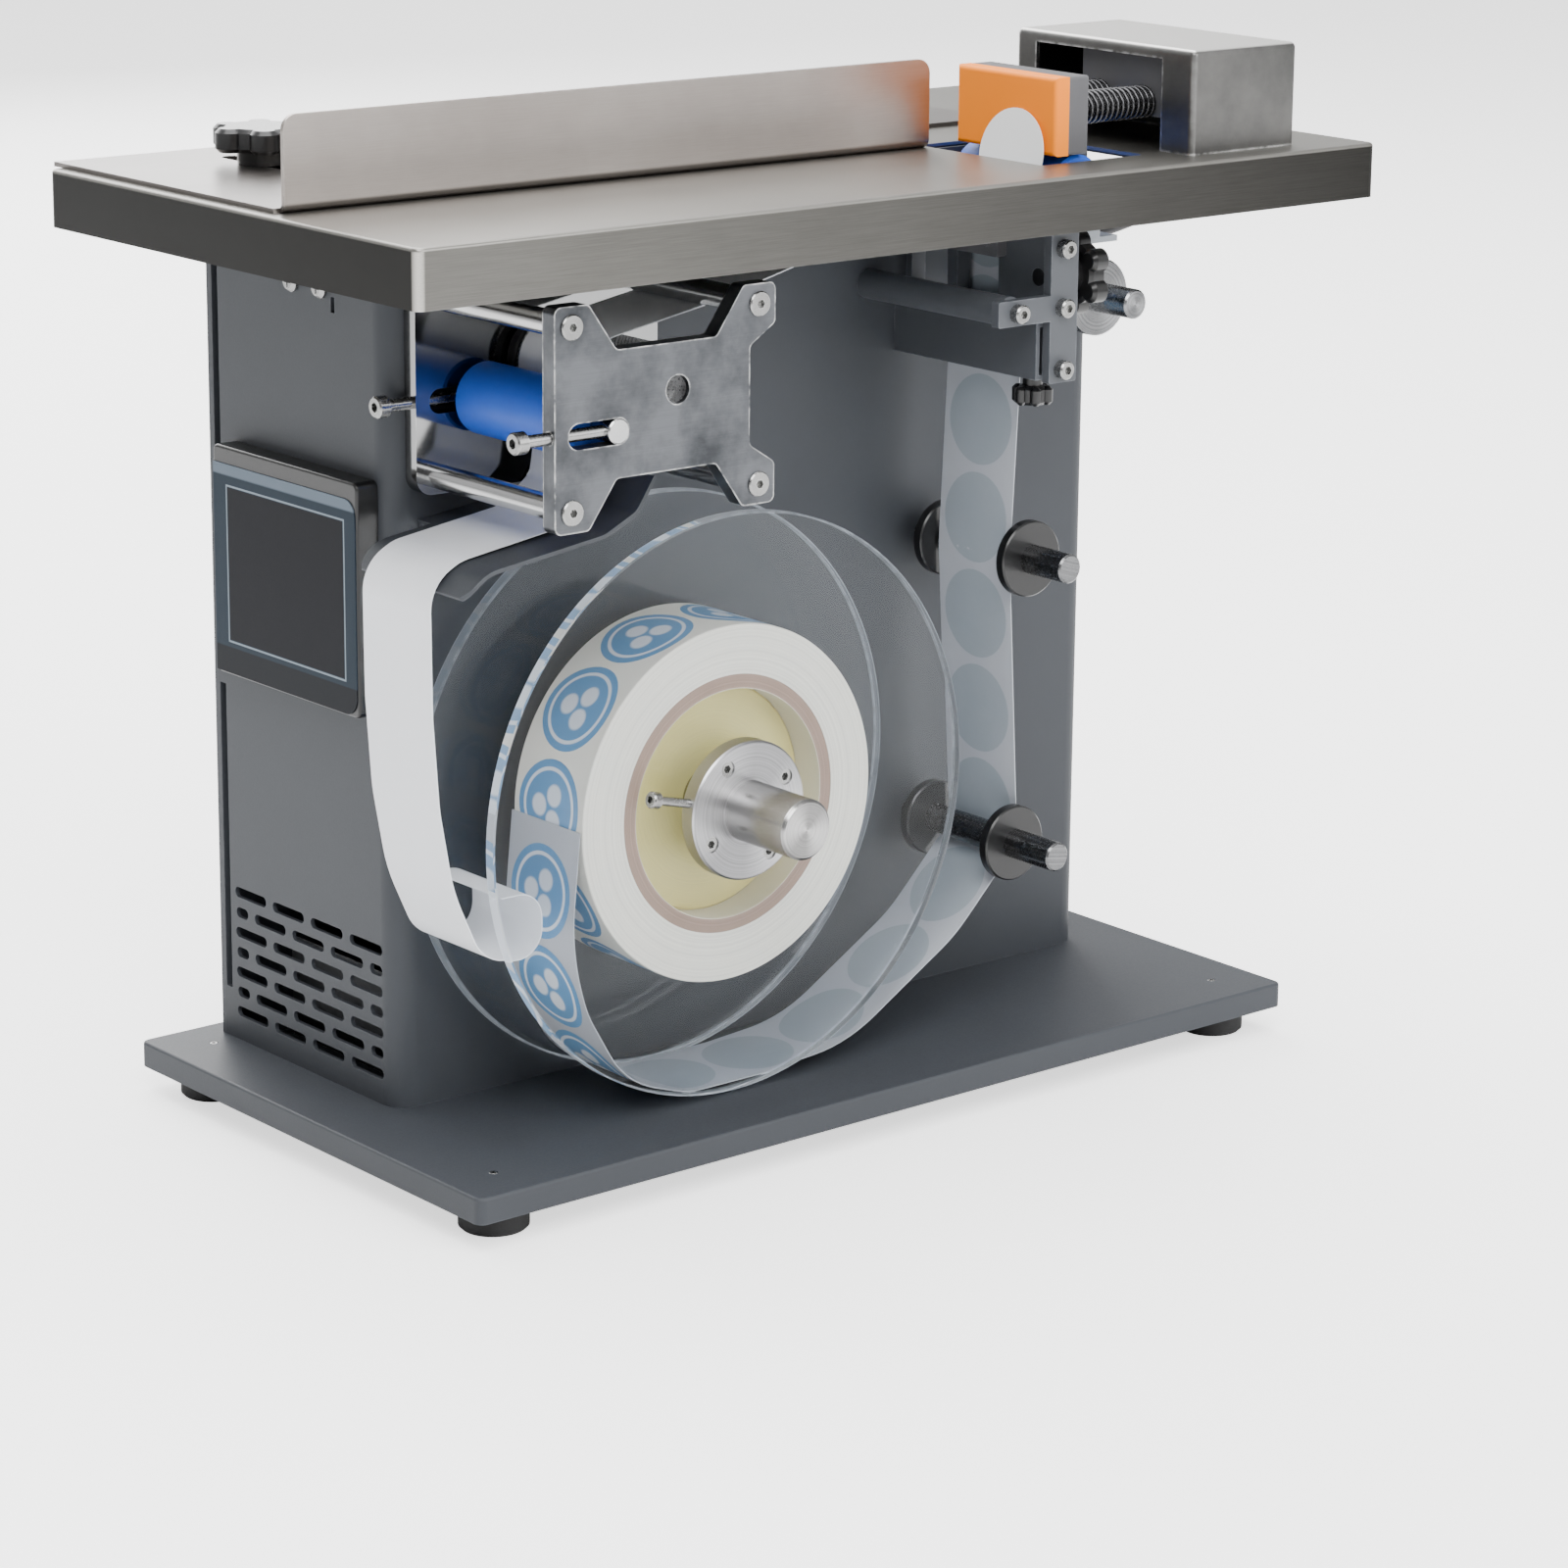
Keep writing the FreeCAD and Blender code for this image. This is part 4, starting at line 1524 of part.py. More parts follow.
def peel_knob_lower():
    seat_z = TABLE_UNDER - PEEL_PLATE_DROP - PEEL_KNOB_GAP
    mid_x = (PEEL_PLATE_X[0] + PEEL_PLATE_X[1]) / 2
    return star_knob(LOWER_KNOB_R, LOWER_KNOB_H, LOWER_STUD_R, LOWER_STUD_L, V(mid_x, LOWER_KNOB_Y, seat_z), -Z_AXIS)


def label_sensor():
    depth, width, height = SENSOR_SIZE
    start_y, drop = SENSOR_AT
    x = (PEEL_PLATE_X[0] - depth, PEEL_PLATE_X[0])
    z1 = TABLE_UNDER - drop
    body = rounded_box(x, (start_y, start_y + width), (z1 - height, z1), SENSOR_EDGE_R, X_AXIS)
    head_at = V(x[0] - SENSOR_HEAD_H, start_y + SENSOR_HEAD_IN, z1 - height / 2)
    head = rod(SENSOR_HEAD_R, SENSOR_HEAD_H, head_at, X_AXIS)
    return body.fuse(head).removeSplitter()


def hmi_housing():
    z = (BASE_TOP + HMI_UP[0], BASE_TOP + HMI_UP[1])
    x = (CABINET_X0 - HMI_PROUD, CABINET_X0)
    frame = rounded_box(x, HMI_Y, z, HMI_CORNER_R, X_AXIS)
    outer_rim = [e for e in frame.Edges if abs(e.CenterOfMass.x - x[0]) < 1e-6]
    frame = frame.makeFillet(HMI_EDGE_R, outer_rim)
    body_y, body_z = panel_body_limits()
    body = box((CABINET_X0 - 1, CABINET_X0 + HMI_BODY_D), body_y, body_z)
    pocket = panel_face((x[0] - 1, x[0] + FACE_SUNK))
    return frame.fuse(body).removeSplitter().cut(pocket)


def panel_face(x):
    """Outline of the operator panel's face, whose front corners are rounded."""
    shape = box(x, FACE_Y, (BASE_TOP + FACE_UP[0], BASE_TOP + FACE_UP[1]))
    front = [e for e in edges_along(shape, X_AXIS) if abs(e.CenterOfMass.y - FACE_Y[0]) < 1e-6]
    return shape.makeFillet(FACE_CORNER_R, front)


def hmi_screen():
    x0 = CABINET_X0 - HMI_PROUD + FACE_SUNK - FACE_T
    return panel_face((x0, x0 + FACE_T))


def control_board():
    """Board on four standoffs behind the front wall, with its larger components."""
    y0 = WALL_INSIDE + STANDOFF_L
    x0 = BOARD_X[0]
    z = (BASE_TOP + BOARD_UP[0], BASE_TOP + BOARD_UP[1])
    board = box(BOARD_X, (y0, y0 + BOARD_T), z)
    posts = []
    for px in (x0 + STANDOFF_IN, BOARD_X[1] - STANDOFF_IN):
        for pz in (z[0] + STANDOFF_IN, z[1] - STANDOFF_IN):
            posts.append(rod(STANDOFF_R, STANDOFF_L, V(px, WALL_INSIDE, pz), Y_AXIS))
    top = y0 + BOARD_T
    chip_x, chip_up, chip_h = BOARD_CHIP
    plug_x = (x0 + BOARD_PLUG_X[0], x0 + BOARD_PLUG_X[1])
    near, far = BOARD_PLUG_IN
    blocks = [box((x0 + chip_x[0], x0 + chip_x[1]), (top, top + chip_h), (z[0] + chip_up[0], z[0] + chip_up[1])),
              box(plug_x, (top, top + BOARD_PLUG_H), (z[0] + near, z[0] + far)),
              box(plug_x, (top, top + BOARD_PLUG_H), (z[1] - far, z[1] - near)),
              rod(BOARD_CAN_R, BOARD_CAN_H, V(x0 + BOARD_CAN[0], top, z[1] - BOARD_CAN[1]), Y_AXIS)]
    return board.fuse(posts + blocks).removeSplitter()


def power_supply():
    z = (BASE_TOP, BASE_TOP + SUPPLY_H)
    case = box(SUPPLY_X, SUPPLY_Y, z)
    strip_y = (SUPPLY_Y[0] + SUPPLY_STRIP_IN, SUPPLY_Y[1] - SUPPLY_STRIP_IN)
    strip = box((SUPPLY_X[1] - 1, SUPPLY_X[1] + SUPPLY_STRIP), strip_y, (z[0], z[0] + SUPPLY_STRIP))
    first = SUPPLY_X[0] + SUPPLY_SLOT_IN
    slot_y = (SUPPLY_Y[0] + SUPPLY_SLOT_IN, SUPPLY_Y[1] - SUPPLY_SLOT_IN)
    slots = [box((first + SUPPLY_SLOT_PITCH * k, first + SUPPLY_SLOT_PITCH * k + SUPPLY_SLOT_W), slot_y,
                 (z[1] - SUPPLY_SLOT_D, z[1] + 1)) for k in range(SUPPLY_SLOTS)]
    return case.fuse(strip).removeSplitter().cut(slots)


def rocker_axis():
    """Pivot line of the rocker switch: its X, its middle in Y, and its Z."""
    return CABINET_X1 - ROCKER_IN, (INLET_Y[0] + INLET_Y[1]) / 2, BASE_TOP + INLET_UP[1] - ROCKER_DROP


def power_inlet():
    z = (BASE_TOP + INLET_UP[0], BASE_TOP + INLET_UP[1])
    flange = rounded_box((CABINET_X1, CABINET_X1 + INLET_FLANGE_T), INLET_Y, z, INLET_FLANGE_R, X_AXIS)
    body_y, body_z = inlet_body_limits()
    body = box((CABINET_X1 - INLET_BODY_D, CABINET_X1 + INLET_FLANGE_T / 2), body_y, body_z)
    pivot_x, mid_y, pivot_z = rocker_axis()
    half_h = ROCKER_H / 2 + ROCKER_SPARE
    half_w = ROCKER_W / 2 + SOFT_GAP
    front = CABINET_X1 + INLET_FLANGE_T + 1
    pocket = box((pivot_x - ROCKER_D / 2 - ROCKER_BACK, front), (mid_y - half_w, mid_y + half_w),
                 (pivot_z - half_h, pivot_z + half_h))
    pin_half = ROCKER_W / 2 + ROCKER_SPARE
    holes = rod(ROCKER_PIN_R + RUNNING_FIT, 2 * pin_half, V(pivot_x, mid_y - pin_half, pivot_z), Y_AXIS)
    socket_z = (z[0] + SOCKET_UP[0], z[0] + SOCKET_UP[1])
    floor_x = CABINET_X1 - SOCKET_D
    socket = rounded_box((floor_x, front), (mid_y - SOCKET_HALF_W, mid_y + SOCKET_HALF_W), socket_z, SOCKET_R, X_AXIS)
    shape = flange.fuse(body).removeSplitter().cut([pocket, holes, socket])
    mid_z = (socket_z[0] + socket_z[1]) / 2
    half_t = BLADE_T / 2
    half_blade = BLADE_W / 2
    blades = [box((floor_x - 1, CABINET_X1 - BLADE_SHORT), (mid_y + dy - half_t, mid_y + dy + half_t),
                  (mid_z + dz - half_blade, mid_z + dz + half_blade)) for dy, dz in BLADES_AT]
    return shape.fuse(blades).removeSplitter()


def rocker_switch():
    pivot_x, mid_y, pivot_z = rocker_axis()
    front = CABINET_X1 + INLET_FLANGE_T + ROCKER_PROUD
    half_h = ROCKER_H / 2
    y = (mid_y - ROCKER_W / 2, mid_y + ROCKER_W / 2)
    back = pivot_x - ROCKER_BACK
    outline = [(back, pivot_z - half_h), (front, pivot_z - half_h), (front - ROCKER_DISH, pivot_z),
               (front, pivot_z + half_h), (back, pivot_z + half_h)]
    pin = rod(ROCKER_PIN_R, ROCKER_W + 2 * ROCKER_PIN_OUT, V(pivot_x, y[0] - ROCKER_PIN_OUT, pivot_z), Y_AXIS)
    shape = panel(outline, y).fuse(pin).removeSplitter()
    shape.rotate(V(pivot_x, mid_y, pivot_z), Y_AXIS, ROCKER_TILT)
    return shape


NODES = {
    "base_plate": base_plate,
    "rubber_feet": rubber_feet,
    "cabinet_shell": cabinet_shell,
    "back_cover": back_cover,
    "pan_screws": pan_screws,
    "table_brackets": table_brackets,
    "table_top": table_top,
    "black_screws": black_screws,
    "fence": fence,
    "pusher_housing": pusher_housing,
    "guide_block": guide_block,
    "pusher_pad": pusher_pad,
    "pusher_block": pusher_block,
    "pusher_rods": pusher_rods,
    "pusher_springs": pusher_springs,
    "microswitch": microswitch,
    "sensor_loom": sensor_loom,
    "loom_gland": loom_gland,
    "press_roller": press_roller,
    "press_roller_axle": press_roller_axle,
    "press_roller_bracket": press_roller_bracket,
    "traction_back_plate": traction_back_plate,
    "traction_front_plate": traction_front_plate,
    "tie_rods": tie_rods,
    "socket_screws": socket_screws,
    "drive_roller": drive_roller,
    "drive_collar": drive_collar,
    "bearings": bearings,
    "pinch_roller": pinch_roller,
    "pinch_shaft": pinch_shaft,
    "adjusting_bolts": adjusting_bolts,
    "motor_shaft": motor_shaft,
    "stepper_motor": stepper_motor,
    "waste_deflector": waste_deflector,
    "waste_liner": waste_liner,
    "label_web": label_web,
    "reel_discs": reel_discs,
    "label_roll": label_roll,
    "roll_core": roll_core,
    "reel_hub": reel_hub,
    "hub_collar": hub_collar,
    "hub_screws": hub_screws,
    "reel_shaft": reel_shaft,
    "reel_bearing_housing": reel_bearing_housing,
    "guide_posts": guide_posts,
    "guide_collars": guide_collars,
    "peel_plate": peel_plate,
    "peel_cover": peel_cover,
    "peel_end_plate": peel_end_plate,
    "peel_knob_side": peel_knob_side,
    "peel_knob_lower": peel_knob_lower,
    "label_sensor": label_sensor,
    "hmi_housing": hmi_housing,
    "hmi_screen": hmi_screen,
    "control_board": control_board,
    "power_supply": power_supply,
    "power_inlet": power_inlet,
    "rocker_switch": rocker_switch,
}


def main():
    os.makedirs("parts", exist_ok=True)
    shapes = {name: build() for name, build in NODES.items()}
    shapes["fence_knob_left"] = fence_knob(FENCE_SLOTS_X[0])
    shapes["fence_knob_right"] = fence_knob(FENCE_SLOTS_X[1])
    for name, shape in shapes.items():
        if not shape.isValid():
            print("not valid:", name)
        shape.translate(-ORIGIN)
        shape.exportStep("parts/%s.step" % name)
    print(len(shapes), "nodes written")


main()
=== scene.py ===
"""Looks of the corner labeling machine: camera, light, floor, the switch lead, the printed labels, the
pusher's springs and the finish of every part. All sizes are in metres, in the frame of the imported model."""
import math

import bmesh
import bpy
from mathutils import Matrix, Vector


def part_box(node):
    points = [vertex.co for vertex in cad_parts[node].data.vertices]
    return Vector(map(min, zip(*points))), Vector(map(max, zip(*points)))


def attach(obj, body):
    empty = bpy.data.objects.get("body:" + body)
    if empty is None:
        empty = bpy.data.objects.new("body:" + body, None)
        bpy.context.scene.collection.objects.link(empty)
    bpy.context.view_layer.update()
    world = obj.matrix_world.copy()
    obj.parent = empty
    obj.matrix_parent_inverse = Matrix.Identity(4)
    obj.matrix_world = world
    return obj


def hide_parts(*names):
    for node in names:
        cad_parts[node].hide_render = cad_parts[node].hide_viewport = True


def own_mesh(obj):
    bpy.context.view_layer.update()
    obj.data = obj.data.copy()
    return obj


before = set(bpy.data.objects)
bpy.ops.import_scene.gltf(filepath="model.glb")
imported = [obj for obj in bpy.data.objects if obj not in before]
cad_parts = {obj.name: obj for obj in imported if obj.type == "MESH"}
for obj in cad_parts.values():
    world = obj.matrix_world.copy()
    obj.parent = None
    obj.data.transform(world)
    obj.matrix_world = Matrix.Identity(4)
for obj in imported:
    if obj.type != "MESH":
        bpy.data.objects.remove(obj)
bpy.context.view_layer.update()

bl_info = {
    "name": "Corner Labeling Machine Looks",
    "version": (1, 0, 0),
    "blender": (4, 5, 0),
    "location": "View3D > Sidebar > Labeler",
    "description": "Dresses the packed corner labeling machine",
    "category": "Object",
}

# Axes of the turning parts, which lie along Y
REEL_AXIS = (-0.0571, 0.0, 0.1159)
DRIVE_AXIS = (-0.0994, 0.0, 0.2605)
SIDE_DISC_AXIS = (0.0965, 0.0, 0.2668)

# Photographer's camera, fitted to the edges of the machine, with its angles in degrees
CAMERA_AT = Vector((-0.95823, -1.18281, 0.52069))
CAMERA_AZIMUTH = 40.585
CAMERA_DOWN = 14.348
CAMERA_ROLL = 0.73
CAMERA_SHIFT = (-0.0465, -0.0596)
CAMERA_CLIP = (0.05, 100)
SENSOR_WIDTH = 36

# Studio lamps: name, place, size and power in watts, and the point that they look at
LAMPS = (
    ("key", (-1.1, -1.5, 2.1), 1.6, 64.0),
    ("fill", (0.7, -2.3, 1.3), 1.8, 50.0),
    ("top", (0.2, 0.3, 2.4), 2.0, 76.0),
    ("back", (0.4, 2.1, 1.3), 2.0, 66.0),
)
LAMP_AIM = Vector((0, 0, 0.18))

# Sky: its brighter side, its strength away from that side and there, and how far it reaches round
SKY_SIDE = (0.45, 0.62, 0.64)
SKY_STRENGTH = (0.3, 0.85)
SKY_REACH = 0.5

# How bright the backdrop and the floor look to the camera alone
BACKDROP_STRENGTH = 2.6
FLOOR_GLOW = 1.4
FLOOR_RADIUS = 40.0

# Lead from the pusher housing over the table's edge to the cabinet
LOOM_POINTS = (
    (0.172500, -0.0055, 0.3156), (0.182500, -0.0055, 0.3156), (0.193000, -0.0035, 0.3164),
    (0.203500, -0.0010, 0.3158), (0.212500, 0.0015, 0.3105), (0.217700, 0.0037, 0.3015),
    (0.217100, 0.0057, 0.2910), (0.210900, 0.0071, 0.2822), (0.201502, 0.0081, 0.2766),
    (0.190715, 0.0089, 0.2740), (0.179714, 0.0094, 0.2716), (0.168500, 0.0095, 0.2710),
    (0.157500, 0.0095, 0.2710),
)

# Corners and bend radii of the label web from the roll to the peel edge, in the XZ plane
WEB_CORNERS = (
    (-0.116850, 0.116377), (-0.120475, 0.078312), (-0.114274, 0.055893), (-0.098819, 0.029468),
    (-0.072871, 0.020691), (-0.037100, 0.020700), (-0.004500, 0.023000), (0.043587, 0.051779),
    (0.071087, 0.079279), (0.065043, 0.179962), (0.068200, 0.248800), (0.068200, 0.310400),
)
WEB_RADII = (
    0.080041, 0.039973, 0.033962, 0.029956, 0.060000, 0.060000, 0.060000, 0.005450, 0.005450, 0.120000,
)
WEB_MIDDLE_Y = -0.0485
WEB_HALF_THICK = 0.00015
WEB_STEP = 0.001

# Labels: how high they lie on the paper, and what they leave free at the web's start and end
LABEL_LIFT = 0.00006
WEB_START_FREE = 0.002
WEB_END_FREE = 0.003

# Label roll on the reel, with the number of labels round it and the turn of the first in label steps
ROLL_RADIUS = 0.0593
ROLL_MIDDLE_Y = -0.04895
ROLL_LABELS = 11
ROLL_FIRST = 0.35

# Pusher springs: radius of the wire and turns
SPRING_WIRE = 0.00075
SPRING_TURNS = 16

# Levels from where a look starts to where it is whole: along Z, along X, across a corner or from an axis
TABLE_TOP = 0.3137
TABLE_HALF = 0.2
TABLE_LIPS = (TABLE_TOP - 0.0009, TABLE_TOP - 0.0013)
LEFT_LIP = (-TABLE_HALF + 0.0006, -TABLE_HALF + 0.0003)
CORNER_WELD = (0.2104, 0.2113)
FENCE_FLANGE = (TABLE_TOP + 0.0028, TABLE_TOP + 0.0022)
LEAVING_LABEL = (TABLE_TOP - 0.0015, TABLE_TOP - 0.0012)
HOUSING_ROOF = (0.3479, 0.3484)
ROLLER_MANTLE = (0.0119, 0.0121)
CORE_BORE = (0.0384, 0.0382)
DISC_RIM = (0.0957, 0.0961)

# Operator panel's face: middle and half sizes of the screen, and levels of its bands
SCREEN_MIDDLE = (-0.1605, 0.0305, 0.1859)
SCREEN_HALF = (1.0, 0.033, 0.0254)
FACE_BAND = (0.2150, 0.2156)
FACE_STRIP = (0.1582, 0.1577)

# How the grain of a surface is stretched along X, Y and Z
BRUSHED_X = (60.0, 3200.0, 3200.0)
BRUSHED_Y = (3200.0, 60.0, 3200.0)
SPECKLE = (1500.0, 1500.0, 1500.0)
FIBRES = (700.0, 700.0, 1800.0)

# Range that most of a noise's values lie in
NOISE_RANGE = (0.3, 0.7)

# Edges marked brighter, as wear on coated, plastic and rubber parts and as a painted highlight on bare metal and the
# acrylic rim: match of the rounded and the true normal where the mark starts and is whole, and how it breaks up
WEAR_AND_HIGHLIGHT_EDGE = (0.995, 0.85)
WEAR_AND_HIGHLIGHT_BREAKS = (0.35, 0.6)
WEAR_AND_HIGHLIGHT_PATCHES = 260.0

# Fan of sheen on a turned face: bright wedges on each side, their turn, and where a wedge starts and is whole
FAN_WEDGES = 2.0
FAN_TURN = 0.9
FAN_EDGE = (-0.8, 0.9)

# Label print, in shares of the label's radius: the ring and its soft edge, and the dots' places and soft edge
PRINT_RING = 0.8
PRINT_RING_EDGE = (0.05, 0.03)
PRINT_DOTS = 0.31
PRINT_DOT_EDGE = (0.26, 0.2)
PRINT_DOT_DEGREES = (90, 210, 330)

# Screen of the operator panel: its soft edge, and the thin line's distance and soft edge
SCREEN_EDGE = (0.0001, -0.0001)
LINE_AWAY = 0.0006
LINE_EDGE = (0.0004, 0.0002)

# What scales the steel's colour: painted shade on the table's lips from left to right, deeper painted shade on the
# left lip, a polished weld painted brighter as a highlight, and painted shade on the fence's flange
LIP_SHADE_SCALES = (0.54, 0.11)
LEFT_LIP_SHADE = 0.06
WELD_HIGHLIGHT_SCALE = 2.6
FLANGE_SHADE_TINT = (0.55, 0.56, 0.57, 1.0)

# Painted glow of the acrylic rim, as a highlight: its strength, what the edge mask adds, and what the whole rim has
RIM_GLOW = 0.6
RIM_EDGE_SHARE = 0.7
RIM_SHARE = 0.3

# Directions that levels are read along
X_AXIS = (1, 0, 0)
Z_AXIS = (0, 0, 1)
FRONT_LEFT_CORNER = (-0.7071, -0.7071, 0)

FLOAT = "NodeSocketFloat"
VECTOR = "NodeSocketVector"
COLOUR = "NodeSocketColor"


def linear(red, green, blue):
    """Scene-linear colour of an 8-bit display colour."""
    channels = []
    for value in (red, green, blue):
        share = value / 255
        channels.append(share / 12.92 if share <= 0.04045 else ((share + 0.055) / 1.055) ** 2.4)
    return (*channels, 1.0)


def grey(value):
    """Colour that scales another evenly."""
    return (value, value, value, 1.0)


BLACK = grey(0.0)
# Painted highlight on the edges of bare metal parts
PAINTED_EDGE_HIGHLIGHT = linear(240, 240, 238)


def new_group(name, inputs, outputs):
    """Empty shader group with named sockets, and the nodes of its inputs and outputs."""
    tree = bpy.data.node_groups.new(name, "ShaderNodeTree")
    for label, kind, default in inputs:
        tree.interface.new_socket(name=label, in_out="INPUT", socket_type=kind).default_value = default
    for label in outputs:
        kind = COLOUR if label == "Colour" else FLOAT
        tree.interface.new_socket(name=label, in_out="OUTPUT", socket_type=kind)
    start = tree.nodes.new("NodeGroupInput")
    end = tree.nodes.new("NodeGroupOutput")
    return tree, start, end


def add(tree, kind, values=None, **settings):
    """Node with its settings and its input values."""
    node = tree.nodes.new(kind)
    for key, value in settings.items():
        setattr(node, key, value)
    for key, value in (values or {}).items():
        if isinstance(value, bpy.types.NodeSocket):
            tree.links.new(value, node.inputs[key])
        else:
            node.inputs[key].default_value = value
    return node


def maths(tree, operation, *values, **settings):
    """Result of arithmetic on numbers."""
    return add(tree, "ShaderNodeMath", dict(enumerate(values)), operation=operation, **settings).outputs[0]


def vector_maths(tree, operation, *values, output=0):
    """Result of arithmetic on vectors."""
    node = add(tree, "ShaderNodeVectorMath", dict(enumerate(values)), operation=operation)
    return node.outputs[output]


def ramp(tree, value, first, last, low=0.0, high=1.0):
    """Number that goes from low to high while a value goes from first to last."""
    return add(tree, "ShaderNodeMapRange", {"Value": value, "From Min": first, "From Max": last,
                                            "To Min": low, "To Max": high}).outputs[0]


def dimmed(tree, colour, factor):
    """Colour scaled by a factor that varies over the surface."""
    node = add(tree, "ShaderNodeVectorMath", {0: colour, "Scale": factor}, operation="SCALE")
    return node.outputs[0]


def mixed(tree, factor, first, second):
    """Colour mixed by a factor; either colour may be a value or a socket."""
    node = add(tree, "ShaderNodeMix", {"Factor": factor, 6: first, 7: second}, data_type="RGBA")
    return node.outputs[2]


def noise(tree, values, **settings):
    """Value of a noise texture."""
    return add(tree, "ShaderNodeTexNoise", values, **settings).outputs["Fac"]


def object_place(tree):
    """Place on the object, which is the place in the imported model's frame."""
    return add(tree, "ShaderNodeTexCoord").outputs["Object"]


def from_axis(tree, centre):
    """Distance from an axis along Y, the angle round it and the place along it."""
    offset = vector_maths(tree, "SUBTRACT", object_place(tree), centre)
    parts = add(tree, "ShaderNodeSeparateXYZ", {0: offset}).outputs
    square = maths(tree, "MULTIPLY_ADD", parts["Z"], parts["Z"], maths(tree, "POWER", parts["X"], 2.0))
    return maths(tree, "SQRT", square), maths(tree, "ARCTAN2", parts["Z"], parts["X"]), parts["Y"]


def mottle_group():
    """Slow, cloudy variation of a surface, from 0 to 1."""
    tree, start, end = new_group("Mottle", [("Scale", FLOAT, 60.0), ("Contrast", FLOAT, 1.0)], ["Factor"])
    cloud = noise(tree, {"Vector": object_place(tree), "Scale": start.outputs["Scale"], "Detail": 6.0,
                         "Roughness": 0.6})
    centred = maths(tree, "SUBTRACT", cloud, 0.5)
    factor = maths(tree, "MULTIPLY_ADD", centred, start.outputs["Contrast"], 0.5, use_clamp=True)
    tree.links.new(factor, end.inputs["Factor"])
    return tree


def grain_group():
    """Fine grain that can be stretched along an axis, such as brushed lines, speckle or fibres."""
    tree, start, end = new_group("Grain", [("Stretch", VECTOR, (900.0, 900.0, 900.0)), ("Detail", FLOAT, 4.0)],
                                 ["Height"])
    place = vector_maths(tree, "MULTIPLY", object_place(tree), start.outputs["Stretch"])
    height = noise(tree, {"Vector": place, "Scale": 1.0, "Detail": start.outputs["Detail"], "Roughness": 0.65})
    tree.links.new(height, end.inputs["Height"])
    return tree


def rings_group():
    """Concentric lines and a fan of sheen round an axis along Y, for turned faces and wound paper."""
    tree, start, end = new_group("Rings", [("Centre", VECTOR, (0, 0, 0)), ("Scale", FLOAT, 4000.0)],
                                 ["Height", "Radius", "Sheen"])
    radius, angle, _ = from_axis(tree, start.outputs["Centre"])
    fan = maths(tree, "COSINE", maths(tree, "MULTIPLY_ADD", angle, FAN_WEDGES, FAN_TURN))
    run = maths(tree, "MULTIPLY", radius, start.outputs["Scale"])
    lines = noise(tree, {"W": run, "Scale": 1.0, "Detail": 3.0}, noise_dimensions="1D")
    tree.links.new(ramp(tree, fan, *FAN_EDGE), end.inputs["Sheen"])
    tree.links.new(lines, end.inputs["Height"])
    tree.links.new(radius, end.inputs["Radius"])
    return tree


def knurl_group():
    """Crossed rows of small pyramids on a roller along Y."""
    tree, start, end = new_group("Knurl", [("Centre", VECTOR, (0, 0, 0)), ("Count", FLOAT, 26.0),
                                           ("Pitch", FLOAT, 2000.0)], ["Height"])
    _, angle, along = from_axis(tree, start.outputs["Centre"])
    turn = maths(tree, "MULTIPLY", angle, start.outputs["Count"])
    run = maths(tree, "MULTIPLY", along, start.outputs["Pitch"])
    rows = [maths(tree, "ABSOLUTE", maths(tree, "SINE", maths(tree, lean, turn, run)))
            for lean in ("ADD", "SUBTRACT")]
    tree.links.new(maths(tree, "MINIMUM", *rows), end.inputs["Height"])
    return tree


def wear_and_highlight_group():
    """Bright, broken line along the outer edges of a part: wear on coated, plastic and rubber parts, and a painted
    highlight on bare metal and on the acrylic rim.
    """
    tree, start, end = new_group("Edge Wear And Highlight", [("Width", FLOAT, 0.0006), ("Amount", FLOAT, 0.5)], ["Mask"])
    soft = add(tree, "ShaderNodeBevel", {"Radius": start.outputs["Width"]}, samples=4).outputs[0]
    sharp = add(tree, "ShaderNodeNewGeometry").outputs["Normal"]
    edge = ramp(tree, vector_maths(tree, "DOT_PRODUCT", soft, sharp, output="Value"), *WEAR_AND_HIGHLIGHT_EDGE)
    patches = noise(tree, {"Vector": object_place(tree), "Scale": WEAR_AND_HIGHLIGHT_PATCHES, "Detail": 5.0})
    broken = maths(tree, "MULTIPLY", edge, ramp(tree, patches, *WEAR_AND_HIGHLIGHT_BREAKS))
    tree.links.new(maths(tree, "MULTIPLY", broken, start.outputs["Amount"], use_clamp=True), end.inputs["Mask"])
    return tree


def level_group():
    """Mask that rises between two levels along an axis."""
    tree, start, end = new_group("Level", [("Axis", VECTOR, Z_AXIS), ("From", FLOAT, 0.0), ("To", FLOAT, 1.0)],
                                 ["Mask"])
    along = vector_maths(tree, "DOT_PRODUCT", object_place(tree), start.outputs["Axis"], output="Value")
    tree.links.new(ramp(tree, along, start.outputs["From"], start.outputs["To"]), end.inputs["Mask"])
    return tree


